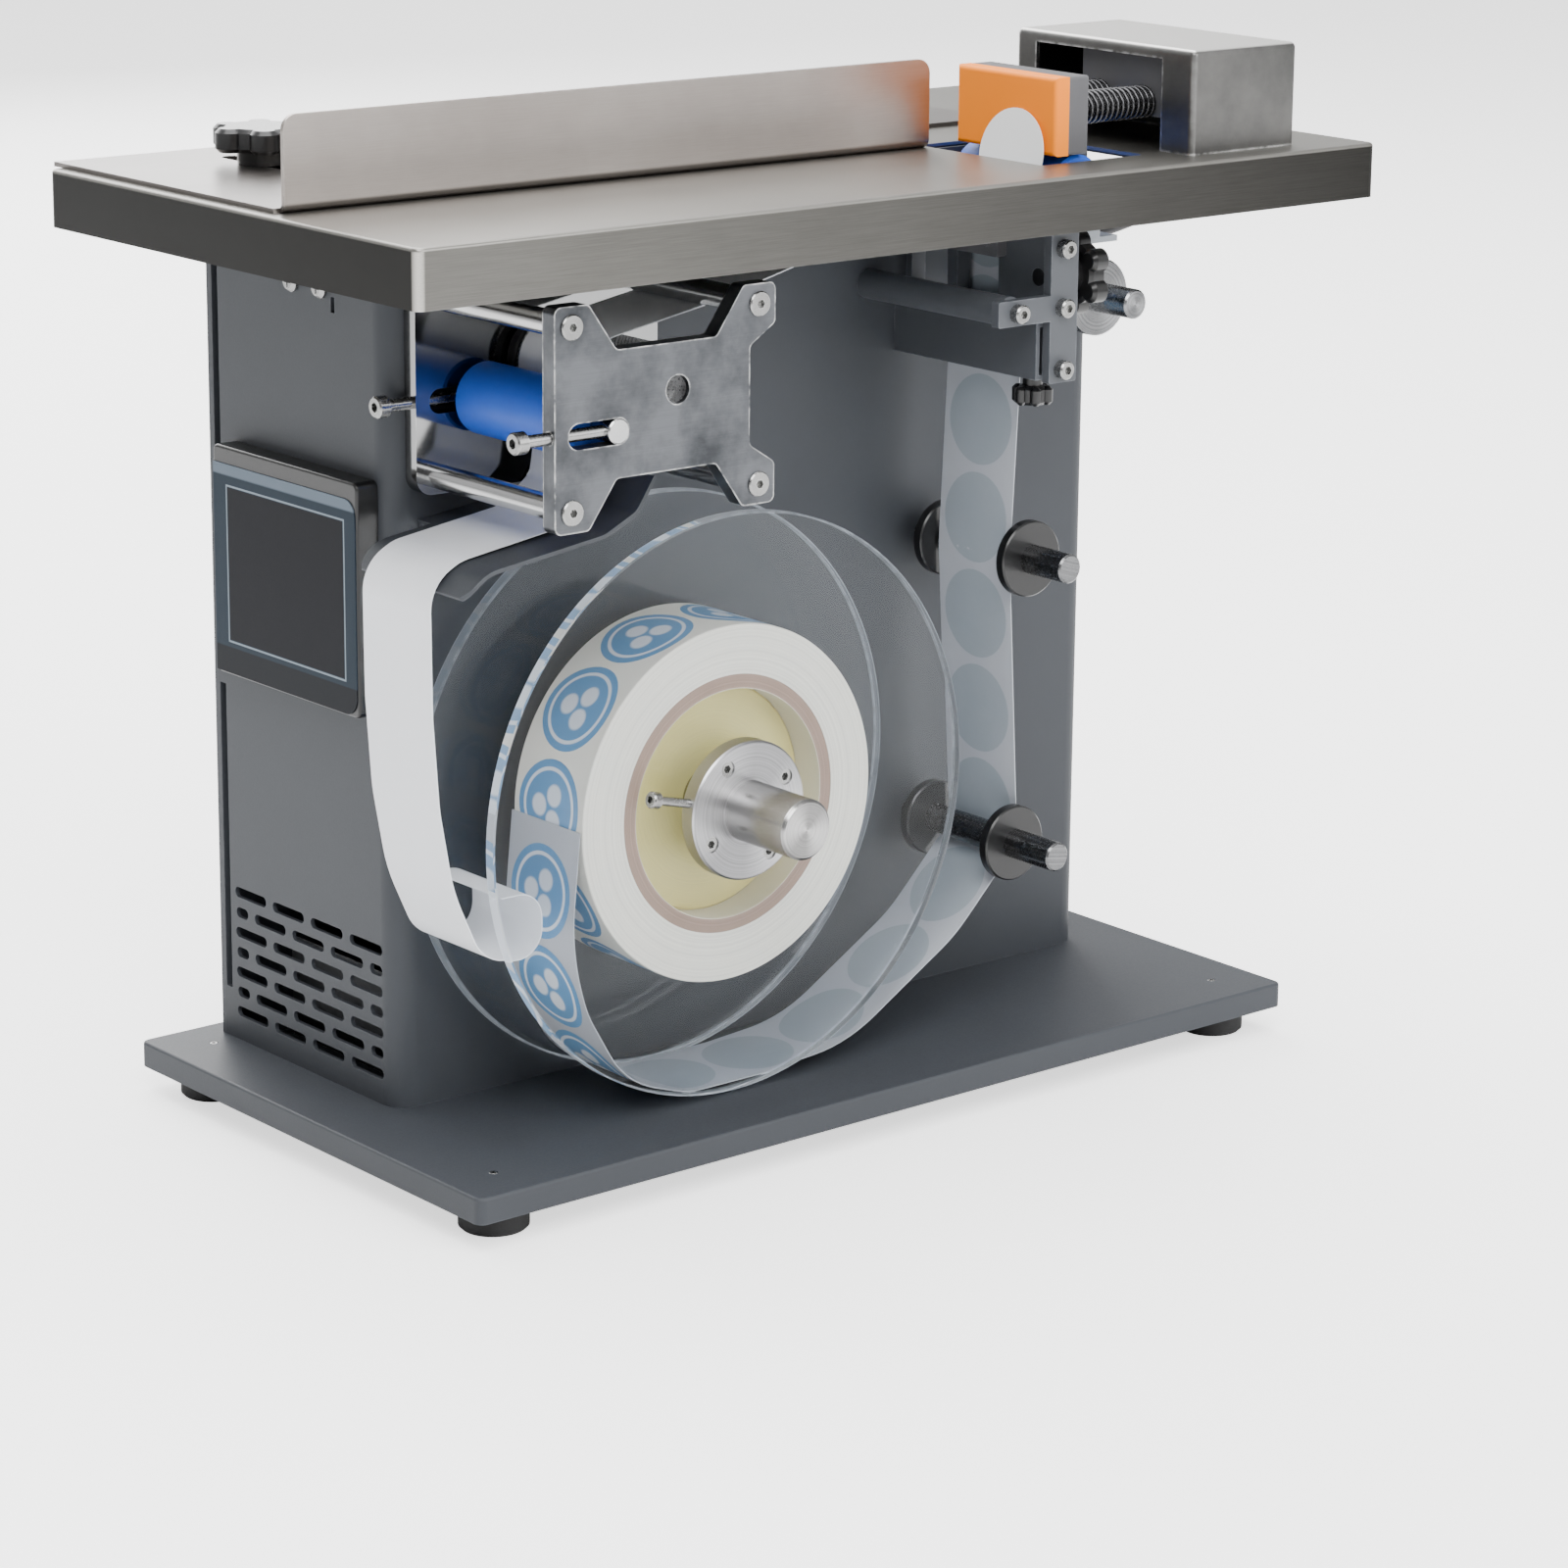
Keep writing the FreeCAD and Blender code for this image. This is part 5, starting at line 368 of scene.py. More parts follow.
def print_group():
    """Printed design of a round label on its own flat map: a light ring and three light dots."""
    tree, start, end = new_group("Label Print", [("Colour", COLOUR, (0, 0, 1, 1)), ("Light", COLOUR, grey(1.0))],
                                 ["Colour"])
    place = add(tree, "ShaderNodeUVMap").outputs["UV"]
    from_middle = vector_maths(tree, "DISTANCE", place, (0.0, 0.0, 0.0), output="Value")
    from_ring = maths(tree, "ABSOLUTE", maths(tree, "SUBTRACT", from_middle, PRINT_RING))
    marks = ramp(tree, from_ring, *PRINT_RING_EDGE)
    for degrees in PRINT_DOT_DEGREES:
        turn = math.radians(degrees)
        centre = (PRINT_DOTS * math.cos(turn), PRINT_DOTS * math.sin(turn), 0.0)
        from_dot = vector_maths(tree, "DISTANCE", place, centre, output="Value")
        marks = maths(tree, "MAXIMUM", marks, ramp(tree, from_dot, *PRINT_DOT_EDGE))
    tree.links.new(mixed(tree, marks, start.outputs["Colour"], start.outputs["Light"]), end.inputs["Colour"])
    return tree


def screen_group():
    """Masks of the operator panel's screen and of the thin line round it."""
    tree, start, end = new_group("Screen", [("Middle", VECTOR, (0, 0, 0)), ("Half", VECTOR, (1, 1, 1))],
                                 ["Screen", "Line"])
    offset = vector_maths(tree, "SUBTRACT", object_place(tree), start.outputs["Middle"])
    beyond = vector_maths(tree, "SUBTRACT", vector_maths(tree, "ABSOLUTE", offset), start.outputs["Half"])
    parts = add(tree, "ShaderNodeSeparateXYZ", {0: beyond}).outputs
    edge = maths(tree, "MAXIMUM", parts["Y"], parts["Z"])
    from_line = maths(tree, "ABSOLUTE", maths(tree, "SUBTRACT", edge, LINE_AWAY))
    tree.links.new(ramp(tree, edge, *SCREEN_EDGE), end.inputs["Screen"])
    tree.links.new(ramp(tree, from_line, *LINE_EDGE), end.inputs["Line"])
    return tree


GROUP_MAKERS = {"Mottle": mottle_group, "Grain": grain_group, "Rings": rings_group, "Knurl": knurl_group,
                "Edge Wear And Highlight": wear_and_highlight_group, "Level": level_group, "Label Print": print_group, "Screen": screen_group}
GROUPS = {}


def use_group(tree, name, **values):
    """Outputs of a node of one of the shared effects."""
    if name not in GROUPS:
        GROUPS[name] = GROUP_MAKERS[name]()
    node = tree.nodes.new("ShaderNodeGroup")
    node.node_tree = GROUPS[name]
    for key, value in values.items():
        if isinstance(value, bpy.types.NodeSocket):
            tree.links.new(value, node.inputs[key])
        else:
            node.inputs[key].default_value = value
    return node.outputs


def level(tree, axis, first, last):
    """Mask that rises along an axis between two levels."""
    return use_group(tree, "Level", Axis=axis, From=first, To=last)["Mask"]


def reach(tree, axis, first, last):
    """Mask that rises with the distance from an axis along Y."""
    return ramp(tree, use_group(tree, "Rings", Centre=axis)["Radius"], first, last)


def raise_bump(tree, shader, height, strength, depth):
    """Bumps of a height on a shader."""
    bump = add(tree, "ShaderNodeBump", {"Height": height, "Strength": strength, "Distance": depth})
    tree.links.new(bump.outputs["Normal"], shader.inputs["Normal"])


def new_material(name):
    """Material with its tree and shader."""
    material = bpy.data.materials.new(name)
    material.use_nodes = True
    return material, material.node_tree, material.node_tree.nodes["Principled BSDF"]


def finish(name, base, second, rough, metallic=0.0, grain=(900, 900, 900), depth=0.0001, strength=0.2, mottle=60.0,
           contrast=1.0, wear=0.0, wear_and_highlight_colour=None, coat=0.0, grain_tint=0.0, width=0.0006, specular=0.5):
    """Material with cloudy colour, grain in roughness, tint and bump, and edges marked brighter: wear on coated,
    plastic and rubber parts, a painted highlight on bare metal.
    """
    material, tree, shader = new_material(name)
    cloud = use_group(tree, "Mottle", Scale=mottle, Contrast=contrast)["Factor"]
    lines = use_group(tree, "Grain", Stretch=grain)["Height"]
    colour = mixed(tree, cloud, base, second)
    if grain_tint:
        colour = dimmed(tree, colour, ramp(tree, lines, *NOISE_RANGE, 1 - grain_tint, 1 + grain_tint * 0.4))
    if wear:
        edge = use_group(tree, "Edge Wear And Highlight", Width=width, Amount=wear)["Mask"]
        colour = mixed(tree, edge, colour, wear_and_highlight_colour)
    tree.links.new(colour, shader.inputs["Base Color"])
    tree.links.new(ramp(tree, lines, 0.0, 1.0, *rough), shader.inputs["Roughness"])
    raise_bump(tree, shader, lines, strength, depth)
    shader.inputs["Metallic"].default_value = metallic
    shader.inputs["Coat Weight"].default_value = coat
    shader.inputs["Specular IOR Level"].default_value = specular
    return material


def base_of(material):
    """Tree, shader and present base colour of a material."""
    tree = material.node_tree
    shader = tree.nodes["Principled BSDF"]
    return tree, shader, shader.inputs["Base Color"].links[0].from_socket


def recolour(material, mask, colour):
    """Gives a material another base colour where a mask is 1."""
    tree, shader, old = base_of(material)
    tree.links.new(mixed(tree, mask, old, colour), shader.inputs["Base Color"])


def tint_base(material, tint):
    """Multiplies the base colour of a material by a tint that varies over it."""
    tree, shader, old = base_of(material)
    tree.links.new(vector_maths(tree, "MULTIPLY", old, tint), shader.inputs["Base Color"])


def table_steel():
    """Brushed stainless pan with a light top, bent lips painted darker as shade, a polished weld at its front left
    corner painted brighter as a highlight, and edges painted brighter as highlights.
    """
    material = finish("table_steel", linear(156, 154, 149), linear(136, 134, 129), (0.26, 0.46), metallic=1.0,
                      grain=BRUSHED_X, depth=0.00006, strength=0.25, mottle=22.0, contrast=0.8, wear=0.7,
                      wear_and_highlight_colour=linear(190, 190, 187), grain_tint=0.16, width=0.0008)
    tree = material.node_tree
    # Painted shade: the lips darker from left to right and darkest on the left lip; painted highlight: the weld
    # brighter
    lip_shade_and_highlight = mixed(tree, level(tree, X_AXIS, -TABLE_HALF, TABLE_HALF), *map(grey, LIP_SHADE_SCALES))
    lip_shade_and_highlight = mixed(tree, level(tree, X_AXIS, *LEFT_LIP), lip_shade_and_highlight, grey(LEFT_LIP_SHADE))
    lip_shade_and_highlight = mixed(tree, level(tree, FRONT_LEFT_CORNER, *CORNER_WELD), lip_shade_and_highlight, grey(WELD_HIGHLIGHT_SCALE))
    tint_base(material, mixed(tree, level(tree, Z_AXIS, *TABLE_LIPS), grey(1.0), lip_shade_and_highlight))
    return material


def fence_steel():
    """Stainless fence whose wall is painted light and pinkish, with a soft, cloudy sheen, as a reflection of the
    table, whose flange is painted greyer as shade, and whose edges are painted brighter as highlights.
    """
    # Light, pinkish wall colour: a painted reflection of the table
    material = finish("fence_steel", linear(180, 173, 168), linear(152, 145, 140), (0.26, 0.42), metallic=1.0,
                      grain=BRUSHED_X, depth=0.00004, strength=0.18, mottle=12.0, contrast=1.8, wear=0.7,
                      wear_and_highlight_colour=linear(206, 200, 194), grain_tint=0.08, width=0.0008)
    tree = material.node_tree
    # Flange painted greyer than the wall as shade
    tint_base(material, mixed(tree, level(tree, Z_AXIS, *FENCE_FLANGE), grey(1.0), FLANGE_SHADE_TINT))
    return material


def housing_steel():
    """Stainless housing whose faces are greyer than its roof: the roof is painted lighter as lit from above, and the
    edges are painted white as highlights on its polished corners.
    """
    material = finish("housing_steel", linear(88, 88, 87), linear(128, 127, 125), (0.32, 0.48), metallic=1.0,
                      grain=BRUSHED_Y, depth=0.00004, strength=0.15, mottle=26.0, contrast=2.2, wear=1.0,
                      wear_and_highlight_colour=grey(1.0), grain_tint=0.06, width=0.0014)
    # Painted light: the roof lighter than the faces
    recolour(material, level(material.node_tree, Z_AXIS, *HOUSING_ROOF), linear(226, 225, 222))
    return material


def turned_finish(name, base, second, rough, centre, scale, tint, metallic=0.0, sheen=0.0):
    """Turned or wound material with concentric lines round an axis, and the fan of sheen of a turned face."""
    material = finish(name, base, second, rough, metallic=metallic, grain=SPECKLE, depth=0.00003, strength=0.1,
                      mottle=80.0, contrast=0.7)
    tree, shader, old = base_of(material)
    rings = use_group(tree, "Rings", Centre=centre, Scale=scale)
    lined = dimmed(tree, old, ramp(tree, rings["Height"], *NOISE_RANGE, 1 - tint, 1.0))
    colour = dimmed(tree, lined, ramp(tree, rings["Sheen"], 0.0, 1.0, 1 - sheen, 1.0))
    tree.links.new(colour, shader.inputs["Base Color"])
    raise_bump(tree, shader, rings["Height"], 0.15, 0.0002)
    return material


def knurled_steel():
    """Steel roller whose mantle is knurled, with painted shade in the knurl's grooves."""
    material = finish("knurled_steel", linear(205, 205, 205), linear(170, 170, 172), (0.2, 0.38), metallic=1.0,
                      grain=SPECKLE, grain_tint=0.1)
    tree, shader, old = base_of(material)
    knurl = use_group(tree, "Knurl", Centre=DRIVE_AXIS)["Height"]
    raise_bump(tree, shader, knurl, 1.0, 0.001)
    # Painted shade: the knurl's grooves darker
    painted_groove_shade = dimmed(tree, old, ramp(tree, knurl, 0.0, 0.5, 0.1, 1.0))
    recolour(material, reach(tree, DRIVE_AXIS, *ROLLER_MANTLE), painted_groove_shade)
    return material


def core_board():
    """Brown board of the roll's core, with a pale lining in its bore."""
    material = turned_finish("board", linear(172, 146, 130), linear(156, 130, 114), (0.7, 0.85), centre=REEL_AXIS,
                             scale=1800.0, tint=0.2)
    recolour(material, reach(material.node_tree, REEL_AXIS, *CORE_BORE), linear(226, 221, 204))
    return material


def clear_acrylic():
    """Clear acrylic disc whose rim is painted with a glow as a highlight."""
    material, tree, shader = new_material("clear_acrylic")
    cloud = use_group(tree, "Mottle", Scale=90.0, Contrast=1.4)["Factor"]
    tree.links.new(mixed(tree, cloud, linear(247, 250, 253), linear(253, 254, 255)), shader.inputs["Base Color"])
    tree.links.new(ramp(tree, cloud, 0.0, 1.0, 0.0, 0.04), shader.inputs["Roughness"])
    edge = use_group(tree, "Edge Wear And Highlight", Width=0.0009, Amount=1.0)["Mask"]
    # Painted highlight: the rim glows, more at its edges
    lit = maths(tree, "MULTIPLY_ADD", edge, RIM_EDGE_SHARE, RIM_SHARE)
    glow = maths(tree, "MULTIPLY", reach(tree, REEL_AXIS, *DISC_RIM), lit)
    tree.links.new(mixed(tree, glow, BLACK, linear(196, 206, 216)), shader.inputs["Emission Color"])
    shader.inputs["Emission Strength"].default_value = RIM_GLOW
    shader.inputs["Transmission Weight"].default_value = 1.0
    shader.inputs["IOR"].default_value = 1.2
    return material


def panel_face():
    """Printed membrane of the operator panel: screen, thin line, light band and dark strip."""
    material = finish("panel_face", linear(28, 40, 51), linear(33, 45, 56), (0.35, 0.5), grain=SPECKLE, depth=0.00003,
                      strength=0.1, mottle=40.0, contrast=0.8, specular=0.1)
    tree = material.node_tree
    masks = use_group(tree, "Screen", Middle=SCREEN_MIDDLE, Half=SCREEN_HALF)
    for mask, colour in ((level(tree, Z_AXIS, *FACE_BAND), linear(98, 110, 122)),
                         (level(tree, Z_AXIS, *FACE_STRIP), linear(18, 21, 26)),
                         (masks["Screen"], linear(10, 12, 19)), (masks["Line"], linear(128, 140, 150))):
        recolour(material, mask, colour)
    return material


def paper(name, base, second, rough=(0.3, 0.45), mottle=60.0, **more):
    """Smooth paper with a faint fibre."""
    return finish(name, base, second, rough, grain=FIBRES, depth=0.00002, strength=0.1, mottle=mottle, **more)


def web_paper():
    """Silicone-coated web; the label that leaves it above the table is whiter."""
    material = paper("label_paper", linear(178, 182, 189), linear(188, 192, 199))
    recolour(material, level(material.node_tree, Z_AXIS, *LEAVING_LABEL), linear(238, 240, 241))
    return material


def label_print(name, colour):
    """Printed face of the round labels."""
    material = paper(name, colour, colour, mottle=80.0, coat=0.2)
    tree, shader, old = base_of(material)
    printed = use_group(tree, "Label Print", Colour=old, Light=linear(226, 234, 242))["Colour"]
    tree.links.new(printed, shader.inputs["Base Color"])
    return material


# Finishes with cloudy colour, grain and brighter edges alone; the edges show wear on paint, coats, plastic and
# rubber, and a painted highlight on the bare metals
PLAIN_LOOKS = {
    "powder_coat": dict(
        base=linear(54, 57, 62), second=linear(59, 62, 67), rough=(0.42, 0.58), grain=SPECKLE, depth=0.00012,
        strength=0.25, mottle=30.0, contrast=0.8, wear=0.35, wear_and_highlight_colour=linear(104, 108, 114), width=0.0008,
        specular=0.35),
    # Machined plate: its strongly contrasted cloudy tone is partly real mottling and partly painted highlights, and
    # its edges are painted highlights
    "machined_plate": dict(
        base=linear(66, 68, 71), second=linear(106, 108, 112), rough=(0.3, 0.44), metallic=1.0, grain=BRUSHED_X,
        depth=0.00003, strength=0.12, mottle=38.0, contrast=4.0, wear=1.0, wear_and_highlight_colour=PAINTED_EDGE_HIGHLIGHT, grain_tint=0.1,
        width=0.0009),
    "spring_steel": dict(
        base=linear(92, 92, 94), second=linear(70, 70, 72), rough=(0.2, 0.34), metallic=1.0, grain=SPECKLE,
        depth=0.00003, strength=0.15, mottle=90.0, wear=0.3, wear_and_highlight_colour=linear(170, 170, 172)),
    "polished_plate": dict(
        base=linear(156, 156, 156), second=linear(138, 139, 140), rough=(0.04, 0.12), metallic=1.0, grain=BRUSHED_X,
        depth=0.00002, strength=0.08, mottle=18.0, contrast=0.8, wear=0.4, wear_and_highlight_colour=PAINTED_EDGE_HIGHLIGHT),
    "bright_steel": dict(
        base=linear(200, 200, 200), second=linear(182, 183, 184), rough=(0.12, 0.28), metallic=1.0, grain=BRUSHED_Y,
        depth=0.00003, strength=0.15, contrast=0.8, wear=0.4, wear_and_highlight_colour=PAINTED_EDGE_HIGHLIGHT, grain_tint=0.08),
    "zinc_screws": dict(
        base=linear(168, 168, 166), second=linear(134, 134, 134), rough=(0.18, 0.34), metallic=1.0, grain=SPECKLE,
        depth=0.00003, strength=0.15, mottle=120.0, wear=0.5, wear_and_highlight_colour=PAINTED_EDGE_HIGHLIGHT),
    "black_steel": dict(
        base=linear(30, 30, 32), second=linear(40, 40, 42), rough=(0.3, 0.5), metallic=0.4, grain=SPECKLE,
        depth=0.00005, mottle=90.0, wear=0.5, wear_and_highlight_colour=linear(110, 110, 112)),
    "black_plastic": dict(
        base=linear(12, 12, 13), second=linear(20, 20, 21), rough=(0.22, 0.4), grain=SPECKLE, depth=0.00006,
        mottle=90.0, wear=0.3, wear_and_highlight_colour=linear(58, 58, 60), coat=0.15),
    "dark_coat": dict(
        base=linear(68, 71, 76), second=linear(76, 79, 84), rough=(0.4, 0.55), grain=SPECKLE, strength=0.25,
        mottle=50.0, contrast=0.8, wear=0.5, wear_and_highlight_colour=linear(150, 155, 162)),
    "grey_coat": dict(
        base=linear(160, 166, 174), second=linear(172, 178, 185), rough=(0.35, 0.5), grain=SPECKLE, mottle=40.0,
        contrast=0.8, wear=0.5, wear_and_highlight_colour=linear(205, 208, 212)),
    "orange_pad": dict(
        base=linear(255, 142, 6), second=linear(255, 134, 2), rough=(0.4, 0.55), grain=SPECKLE, depth=0.00006,
        mottle=50.0, wear=0.3, wear_and_highlight_colour=linear(255, 150, 50), specular=0.2),
    "grey_plastic": dict(
        base=linear(78, 78, 81), second=linear(90, 90, 93), rough=(0.35, 0.5), grain=BRUSHED_Y, depth=0.00006,
        wear=0.3, wear_and_highlight_colour=linear(165, 165, 168)),
    "blue_rubber": dict(
        base=linear(22, 78, 190), second=linear(32, 94, 206), rough=(0.4, 0.55), grain=SPECKLE, depth=0.00008,
        strength=0.25, mottle=70.0, wear=0.3, wear_and_highlight_colour=linear(96, 146, 222)),
    "black_rubber": dict(
        base=linear(26, 26, 27), second=linear(34, 34, 35), rough=(0.6, 0.8), grain=SPECKLE, strength=0.3,
        mottle=90.0, wear=0.3, wear_and_highlight_colour=linear(52, 52, 53)),
    "motor_black": dict(
        base=linear(30, 30, 32), second=linear(38, 38, 40), rough=(0.35, 0.5), metallic=0.2, grain=SPECKLE,
        wear=0.5, wear_and_highlight_colour=linear(90, 90, 92)),
    "circuit_green": dict(
        base=linear(30, 100, 66), second=linear(24, 84, 56), rough=(0.3, 0.45), grain=SPECKLE, mottle=160.0,
        contrast=2.0),
    # Supply case inside the cabinet: its colour is darkened as painted shade so that the vents look dark; its edges
    # are painted highlights
    "supply_case": dict(
        base=linear(74, 76, 78), second=linear(62, 64, 66), rough=(0.3, 0.45), metallic=0.8, grain=BRUSHED_X,
        wear=0.4, wear_and_highlight_colour=PAINTED_EDGE_HIGHLIGHT),
    "grey_cable": dict(
        base=linear(52, 52, 54), second=linear(62, 62, 64), rough=(0.4, 0.55), grain=SPECKLE),
    "nickel": dict(
        base=linear(196, 190, 180), second=linear(180, 174, 166), rough=(0.15, 0.3), metallic=1.0, grain=SPECKLE,
        wear=0.4, wear_and_highlight_colour=PAINTED_EDGE_HIGHLIGHT),
    "cast_steel": dict(
        base=linear(96, 98, 100), second=linear(82, 84, 86), rough=(0.45, 0.65), metallic=0.5, grain=SPECKLE,
        depth=0.0003, strength=0.4),
}

# Finishes with lines round an axis
TURNED_LOOKS = {
    "side_disc": dict(
        base=linear(186, 187, 189), second=linear(142, 143, 145), rough=(0.18, 0.34), metallic=1.0,
        centre=SIDE_DISC_AXIS, scale=1500.0, tint=0.35, sheen=0.45),
    "turned_steel": dict(
        base=linear(206, 205, 204), second=linear(186, 185, 184), rough=(0.18, 0.32), metallic=1.0,
        centre=REEL_AXIS, scale=1500.0, tint=0.3, sheen=0.5),
    "aluminium": dict(
        base=linear(214, 214, 216), second=linear(200, 200, 203), rough=(0.25, 0.4), metallic=1.0, centre=REEL_AXIS,
        scale=1500.0, tint=0.3, sheen=0.5),
    "cream_nylon": dict(
        base=linear(244, 232, 152), second=linear(236, 223, 142), rough=(0.35, 0.5), centre=REEL_AXIS, scale=2500.0,
        tint=0.1),
    "roll_paper": dict(
        base=linear(247, 245, 234), second=linear(241, 238, 226), rough=(0.6, 0.8), centre=REEL_AXIS, scale=1100.0,
        tint=0.16),
}

# Parts with a finish of their own, where the record's slot is a shared one
SPECIAL = {"drive_roller": "knurled_steel", "table_top": "table_steel", "fence": "fence_steel",
           "pusher_housing": "housing_steel", "guide_posts": "side_disc", "reel_shaft": "turned_steel"}
FINISHES = {}


def make_finishes():
    """Material of every slot of the record, and the special ones."""
    made = {name: finish(name, **look) for name, look in PLAIN_LOOKS.items()}
    made.update((name, turned_finish(name, **look)) for name, look in TURNED_LOOKS.items())
    made.update(table_steel=table_steel(), fence_steel=fence_steel(), housing_steel=housing_steel(),
                knurled_steel=knurled_steel(), clear_acrylic=clear_acrylic(), board=core_board(),
                label_paper=web_paper(), panel_face=panel_face())
    made["liner_paper"] = paper("liner_paper", linear(240, 242, 246), linear(233, 236, 241), (0.4, 0.55))
    return made


def rounded_path(corners, radii, step):
    """Points along straight runs joined by arcs, and their distances from the start."""
    points = [Vector(corner) for corner in corners]
    dense = [points[0]]
    for here, place in enumerate(points[1:-1], start=1):
        before = (place - points[here - 1]).normalized()
        after = (points[here + 1] - place).normalized()
        half_turn = before.angle(after) / 2
        radius = radii[here - 1]
        centre = place + (after - before).normalized() * (radius / math.cos(half_turn))
        first = place - before * (radius * math.tan(half_turn)) - centre
        pieces = max(4, int(2 * half_turn * radius / step))
        side = 1 if before.x * after.y - before.y * after.x > 0 else -1
        for k in range(pieces + 1):
            turn = side * 2 * half_turn * k / pieces
            cosine, sine = math.cos(turn), math.sin(turn)
            dense.append(centre + Vector((first.x * cosine - first.y * sine, first.x * sine + first.y * cosine)))
    dense.append(points[-1])
    lengths = [0.0]
    for start, end in zip(dense, dense[1:]):
        lengths.append(lengths[-1] + (end - start).length)
    return dense, lengths


def on_path(dense, lengths, distance):
    """Point and direction at a distance along the path."""
    distance = min(max(distance, 0.0), lengths[-1] - 1e-9)
    low = min(max(k for k, length in enumerate(lengths) if length <= distance), len(dense) - 2)
    span = lengths[low + 1] - lengths[low]
    share = (distance - lengths[low]) / span if span > 0 else 0.0
    return dense[low].lerp(dense[low + 1], share), (dense[low + 1] - dense[low]).normalized()


def link_piece(name, data):
    """Object of some data, in the scene."""
    piece = bpy.data.objects.new(name, data)
    bpy.context.scene.collection.objects.link(piece)
    return piece


def mesh_piece(name, shape, material):
    """Object of a finished shape with its material."""
    mesh = bpy.data.meshes.new(name)
    shape.to_mesh(mesh)
    shape.free()
    mesh.materials.append(material)
    return link_piece(name, mesh)


class LabelerSizes(bpy.types.PropertyGroup):
    """Sizes that a user would change."""
    label_radius: bpy.props.FloatProperty(
        name="Label radius", description="Radius of the round labels", default=0.0155, unit="LENGTH")
    label_pitch: bpy.props.FloatProperty(
        name="Label pitch", description="Distance between labels on the web", default=0.0336, unit="LENGTH")
    loom_diameter: bpy.props.FloatProperty(
        name="Lead diameter", description="Diameter of the switch lead", default=0.0032, unit="LENGTH")
    camera_lens: bpy.props.FloatProperty(
        name="Camera lens", description="Focal length in millimetres", default=105.795)


class LabelerColours(bpy.types.PropertyGroup):
    """Colours that a user would change."""
    label_colour: bpy.props.FloatVectorProperty(
        name="Label", description="Colour of the labels on the web", size=4, subtype="COLOR",
        default=linear(84, 146, 196))
    floor_colour: bpy.props.FloatVectorProperty(
        name="Floor", description="Colour of the studio floor", size=4, subtype="COLOR",
        default=(0.97, 0.97, 0.97, 1.0))


class LABELER_OT_stage(bpy.types.Operator):
    """Makes the camera, the studio lights and the floor"""
    bl_idname = "labeler.stage"
    bl_label = "Stage"

    def execute(self, context):
        self.make_camera(context)
        self.make_lights()
        self.make_world(context)
        self.make_floor(context.scene.labeler_colours.floor_colour)
        return {"FINISHED"}

    def make_camera(self, context):
        azimuth, down, roll = (math.radians(angle) for angle in (CAMERA_AZIMUTH, CAMERA_DOWN, CAMERA_ROLL))
        forward = Vector((math.sin(azimuth) * math.cos(down), math.cos(azimuth) * math.cos(down), -math.sin(down)))
        right = Vector((math.cos(azimuth), -math.sin(azimuth), 0))
        up = right.cross(forward)
        side = right * math.cos(roll) + up * math.sin(roll)
        top = up * math.cos(roll) - right * math.sin(roll)
        camera = bpy.data.cameras.new("photo_camera")
        camera.sensor_width = SENSOR_WIDTH
        camera.lens = context.scene.labeler_sizes.camera_lens
        camera.shift_x, camera.shift_y = CAMERA_SHIFT
        camera.clip_start, camera.clip_end = CAMERA_CLIP
        holder = link_piece("photo_camera", camera)
        holder.matrix_world = Matrix((
            (side.x, top.x, -forward.x, CAMERA_AT.x), (side.y, top.y, -forward.y, CAMERA_AT.y),
            (side.z, top.z, -forward.z, CAMERA_AT.z), (0, 0, 0, 1)))
        context.scene.camera = holder

    def make_lights(self):
        for name, at, size, power in LAMPS:
            data = bpy.data.lights.new(name, "AREA")
            data.shape = "SQUARE"
            data.size = size
            data.energy = power
            lamp = link_piece(name, data)
            lamp.location = at
            lamp.rotation_mode = "QUATERNION"
            lamp.rotation_quaternion = (LAMP_AIM - Vector(at)).to_track_quat("-Z", "Y")

    def make_world(self, context):
        world = bpy.data.worlds.new("studio")
        world.use_nodes = True
        tree = world.node_tree
        place = add(tree, "ShaderNodeTexCoord").outputs["Generated"]
        along = vector_maths(tree, "DOT_PRODUCT", place, SKY_SIDE, output="Value")
        seen = add(tree, "ShaderNodeLightPath").outputs["Is Camera Ray"]
        sky = ramp(tree, along, -SKY_REACH, SKY_REACH, *SKY_STRENGTH)
        strength = add(tree, "ShaderNodeMix", {"Factor": seen, "A": sky, "B": BACKDROP_STRENGTH})
        background = tree.nodes["Background"]
        tree.links.new(strength.outputs["Result"], background.inputs["Strength"])
        background.inputs["Color"].default_value = grey(1.0)
        context.scene.world = world

    def make_floor(self, colour):
        shape = bmesh.new()
        bmesh.ops.create_circle(shape, cap_ends=True, radius=FLOOR_RADIUS, segments=96)
        second = (*(0.985 * channel for channel in colour[:3]), 1.0)
        material = finish("studio_floor", colour, second, (0.7, 0.85), grain=(40, 40, 40), strength=0.05, mottle=1.5,
                          contrast=0.6)
        tree, shader, _ = base_of(material)
        seen = add(tree, "ShaderNodeLightPath").outputs["Is Camera Ray"]
        tree.links.new(ramp(tree, seen, 0.0, 1.0, 0.0, FLOOR_GLOW), shader.inputs["Emission Strength"])
        shader.inputs["Emission Color"].default_value = grey(1.0)
        mesh_piece("studio_floor", shape, material)


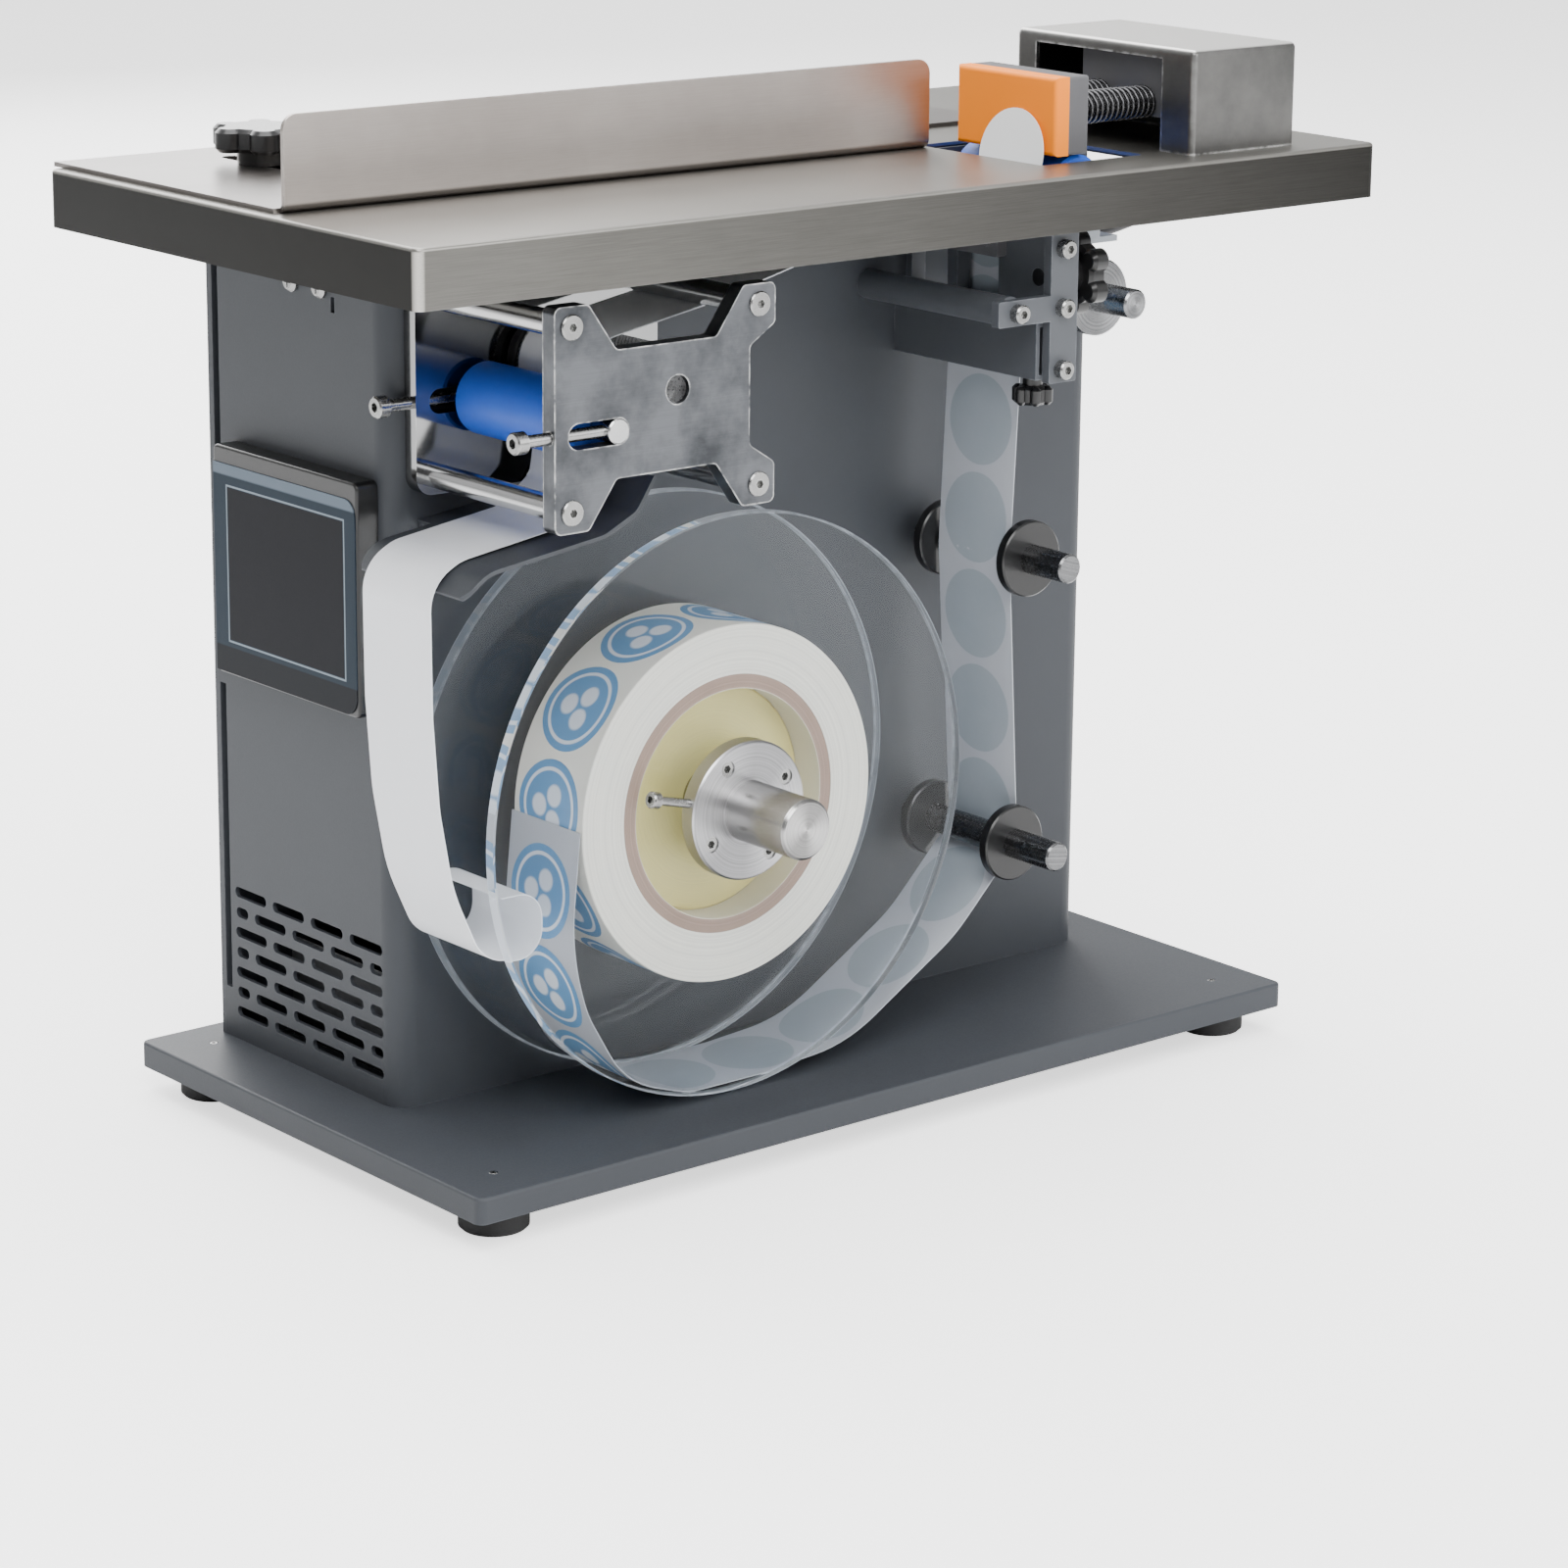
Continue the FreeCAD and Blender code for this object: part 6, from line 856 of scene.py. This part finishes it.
class LABELER_OT_loom(bpy.types.Operator):
    """Makes the switch lead from the pusher housing to the cabinet"""
    bl_idname = "labeler.loom"
    bl_label = "Switch lead"

    def execute(self, context):
        diameter = context.scene.labeler_sizes.loom_diameter
        curve = bpy.data.curves.new("switch_lead", "CURVE")
        curve.dimensions = "3D"
        curve.bevel_depth = diameter / 2
        curve.bevel_resolution = 5
        curve.resolution_u = 10
        curve.use_fill_caps = True
        spline = curve.splines.new("NURBS")
        spline.points.add(len(LOOM_POINTS) - 1)
        for point, place in zip(spline.points, LOOM_POINTS):
            point.co = (*place, 1.0)
        spline.order_u = 3
        spline.use_endpoint_u = True
        curve.materials.append(FINISHES["grey_cable"])
        lead = link_piece("switch_lead", curve)
        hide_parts("sensor_loom")
        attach(lead, "chassis")
        return {"FINISHED"}


class LABELER_OT_finishes(bpy.types.Operator):
    """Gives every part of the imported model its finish"""
    bl_idname = "labeler.finishes"
    bl_label = "Finishes"

    def execute(self, context):
        FINISHES.update(make_finishes())
        for name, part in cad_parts.items():
            slot = SPECIAL.get(name) or part.data.materials[0].name.split(".")[0]
            if slot not in FINISHES:
                raise RuntimeError("no finish for slot %s of %s" % (slot, name))
            for material_slot in part.material_slots:
                material_slot.material = FINISHES[slot]
        return {"FINISHED"}


def label_patch(shape, middle_y, radius, place_on):
    """Round patch bent along a surface, with its own flat map; place_on gives X and Z for a run."""
    circles, spokes = 6, 36
    flat = shape.loops.layers.uv.verify()
    grid = []
    maps = {}
    for circle in range(circles + 1):
        line = []
        for k in range(spokes if circle else 1):
            turn = 2 * math.pi * k / spokes
            share = (circle / circles * math.cos(turn), circle / circles * math.sin(turn))
            x, z = place_on(radius * share[0])
            vertex = shape.verts.new((x, middle_y + radius * share[1], z))
            maps[vertex] = share
            line.append(vertex)
        grid.append(line)
    faces = []
    for k in range(spokes):
        after = (k + 1) % spokes
        faces.append(shape.faces.new((grid[0][0], grid[1][k], grid[1][after])))
        for inside, outside in zip(grid[1:], grid[2:]):
            faces.append(shape.faces.new((inside[k], outside[k], outside[after], inside[after])))
    for face in faces:
        face.smooth = True
        for loop in face.loops:
            loop[flat].uv = maps[loop.vert]


def label_piece(name, shape, material, body):
    """Object of the finished patches, riding a body."""
    piece = mesh_piece(name, shape, material)
    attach(piece, body)


class LABELER_OT_labels(bpy.types.Operator):
    """Lays the round labels on the web, and their shapes that show through on its inner face"""
    bl_idname = "labeler.labels"
    bl_label = "Labels on the web"

    def execute(self, context):
        sizes = context.scene.labeler_sizes
        dense, lengths = rounded_path(WEB_CORNERS, WEB_RADII, WEB_STEP)
        outer, inner = bmesh.new(), bmesh.new()
        middle = lengths[-1] - sizes.label_radius - WEB_END_FREE
        while middle > sizes.label_radius + WEB_START_FREE:
            for shape, side in ((outer, 1), (inner, -1)):
                self.one_label(shape, dense, lengths, middle, side, sizes.label_radius)
            middle -= sizes.label_pitch
        printed = label_print("web_label", tuple(context.scene.labeler_colours.label_colour))
        shadow = paper("label_shadow", linear(150, 160, 168), linear(164, 172, 180))
        label_piece("web_labels", outer, printed, "chassis")
        label_piece("web_shadows", inner, shadow, "chassis")
        return {"FINISHED"}

    def one_label(self, shape, dense, lengths, middle, side, radius):
        """Patch on the outer or the inner face of the web."""
        def place_on(run):
            point, direction = on_path(dense, lengths, middle + run)
            place = point + Vector((direction.y, -direction.x)) * (side * (WEB_HALF_THICK + LABEL_LIFT))
            return place.x, place.y

        label_patch(shape, WEB_MIDDLE_Y, radius, place_on)


class LABELER_OT_roll(bpy.types.Operator):
    """Lays the round labels on the roll"""
    bl_idname = "labeler.roll"
    bl_label = "Labels on the roll"

    def execute(self, context):
        shape = bmesh.new()
        radius = ROLL_RADIUS + LABEL_LIFT
        for number in range(ROLL_LABELS):
            start = 2 * math.pi * (number + ROLL_FIRST) / ROLL_LABELS

            def place_on(run, start=start):
                turn = start + run / radius
                return REEL_AXIS[0] + radius * math.cos(turn), REEL_AXIS[2] + radius * math.sin(turn)

            label_patch(shape, ROLL_MIDDLE_Y, context.scene.labeler_sizes.label_radius, place_on)
        printed = label_print("roll_label", tuple(context.scene.labeler_colours.label_colour))
        label_piece("roll_labels", shape, printed, "reel")
        return {"FINISHED"}


class LABELER_OT_springs(bpy.types.Operator):
    """Winds the two springs that the pusher presses together"""
    bl_idname = "labeler.springs"
    bl_label = "Pusher springs"

    def execute(self, context):
        low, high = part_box("pusher_springs")
        length = high[0] - low[0]
        outside = (high[2] - low[2]) / 2
        shape = bmesh.new()
        for middle_y in (low[1] + outside, high[1] - outside):
            start = Vector((low[0] + SPRING_WIRE, middle_y, low[2] + outside))
            self.wind(shape, start, length - 2 * SPRING_WIRE, outside - SPRING_WIRE)
        bmesh.ops.recalc_face_normals(shape, faces=shape.faces)
        coils = mesh_piece("pusher_coils", shape, FINISHES["spring_steel"])
        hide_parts("pusher_springs")
        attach(coils, "chassis")
        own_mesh(coils)
        return {"FINISHED"}

    def wind(self, shape, start, length, radius):
        """Round wire along a helix, with closed ends."""
        steps, sides = SPRING_TURNS * 24, 8
        whole = 2 * math.pi * SPRING_TURNS
        rings = []
        for k in range(steps + 1):
            turn = whole * k / steps
            outward = Vector((0, math.cos(turn), math.sin(turn)))
            along = Vector((length / whole, -radius * math.sin(turn), radius * math.cos(turn))).normalized()
            across = along.cross(outward)
            centre = start + Vector((length * k / steps, 0, 0)) + outward * radius
            ring = []
            for side in range(sides):
                angle = 2 * math.pi * side / sides
                place = centre + (outward * math.cos(angle) + across * math.sin(angle)) * SPRING_WIRE
                ring.append(shape.verts.new(place))
            rings.append(ring)
        for before, after in zip(rings, rings[1:]):
            for side in range(sides):
                beside = (side + 1) % sides
                shape.faces.new((before[side], before[beside], after[beside], after[side])).smooth = True
        shape.faces.new(rings[0][::-1])
        shape.faces.new(rings[-1])


class LABELER_PT_panel(bpy.types.Panel):
    """Sidebar panel with the pieces and their sizes"""
    bl_idname = "LABELER_PT_panel"
    bl_label = "Labeler"
    bl_space_type = "VIEW_3D"
    bl_region_type = "UI"
    bl_category = "Labeler"

    def draw(self, context):
        for operator in STEPS:
            self.layout.operator(operator.bl_idname)
        for group in (context.scene.labeler_sizes, context.scene.labeler_colours):
            for name in group.__annotations__:
                self.layout.prop(group, name)


STEPS = (LABELER_OT_finishes, LABELER_OT_loom, LABELER_OT_stage, LABELER_OT_labels, LABELER_OT_roll,
         LABELER_OT_springs)
CLASSES = (LabelerSizes, LabelerColours, *STEPS, LABELER_PT_panel)


def register():
    for each in CLASSES:
        bpy.utils.register_class(each)
    bpy.types.Scene.labeler_sizes = bpy.props.PointerProperty(type=LabelerSizes)
    bpy.types.Scene.labeler_colours = bpy.props.PointerProperty(type=LabelerColours)


def unregister():
    del bpy.types.Scene.labeler_colours
    del bpy.types.Scene.labeler_sizes
    for each in reversed(CLASSES):
        bpy.utils.unregister_class(each)


def main():
    register()
    bpy.ops.labeler.finishes()
    bpy.ops.labeler.loom()
    bpy.ops.labeler.stage()
    bpy.ops.labeler.labels()
    bpy.ops.labeler.roll()
    bpy.ops.labeler.springs()


if __name__ == "__main__":
    main()
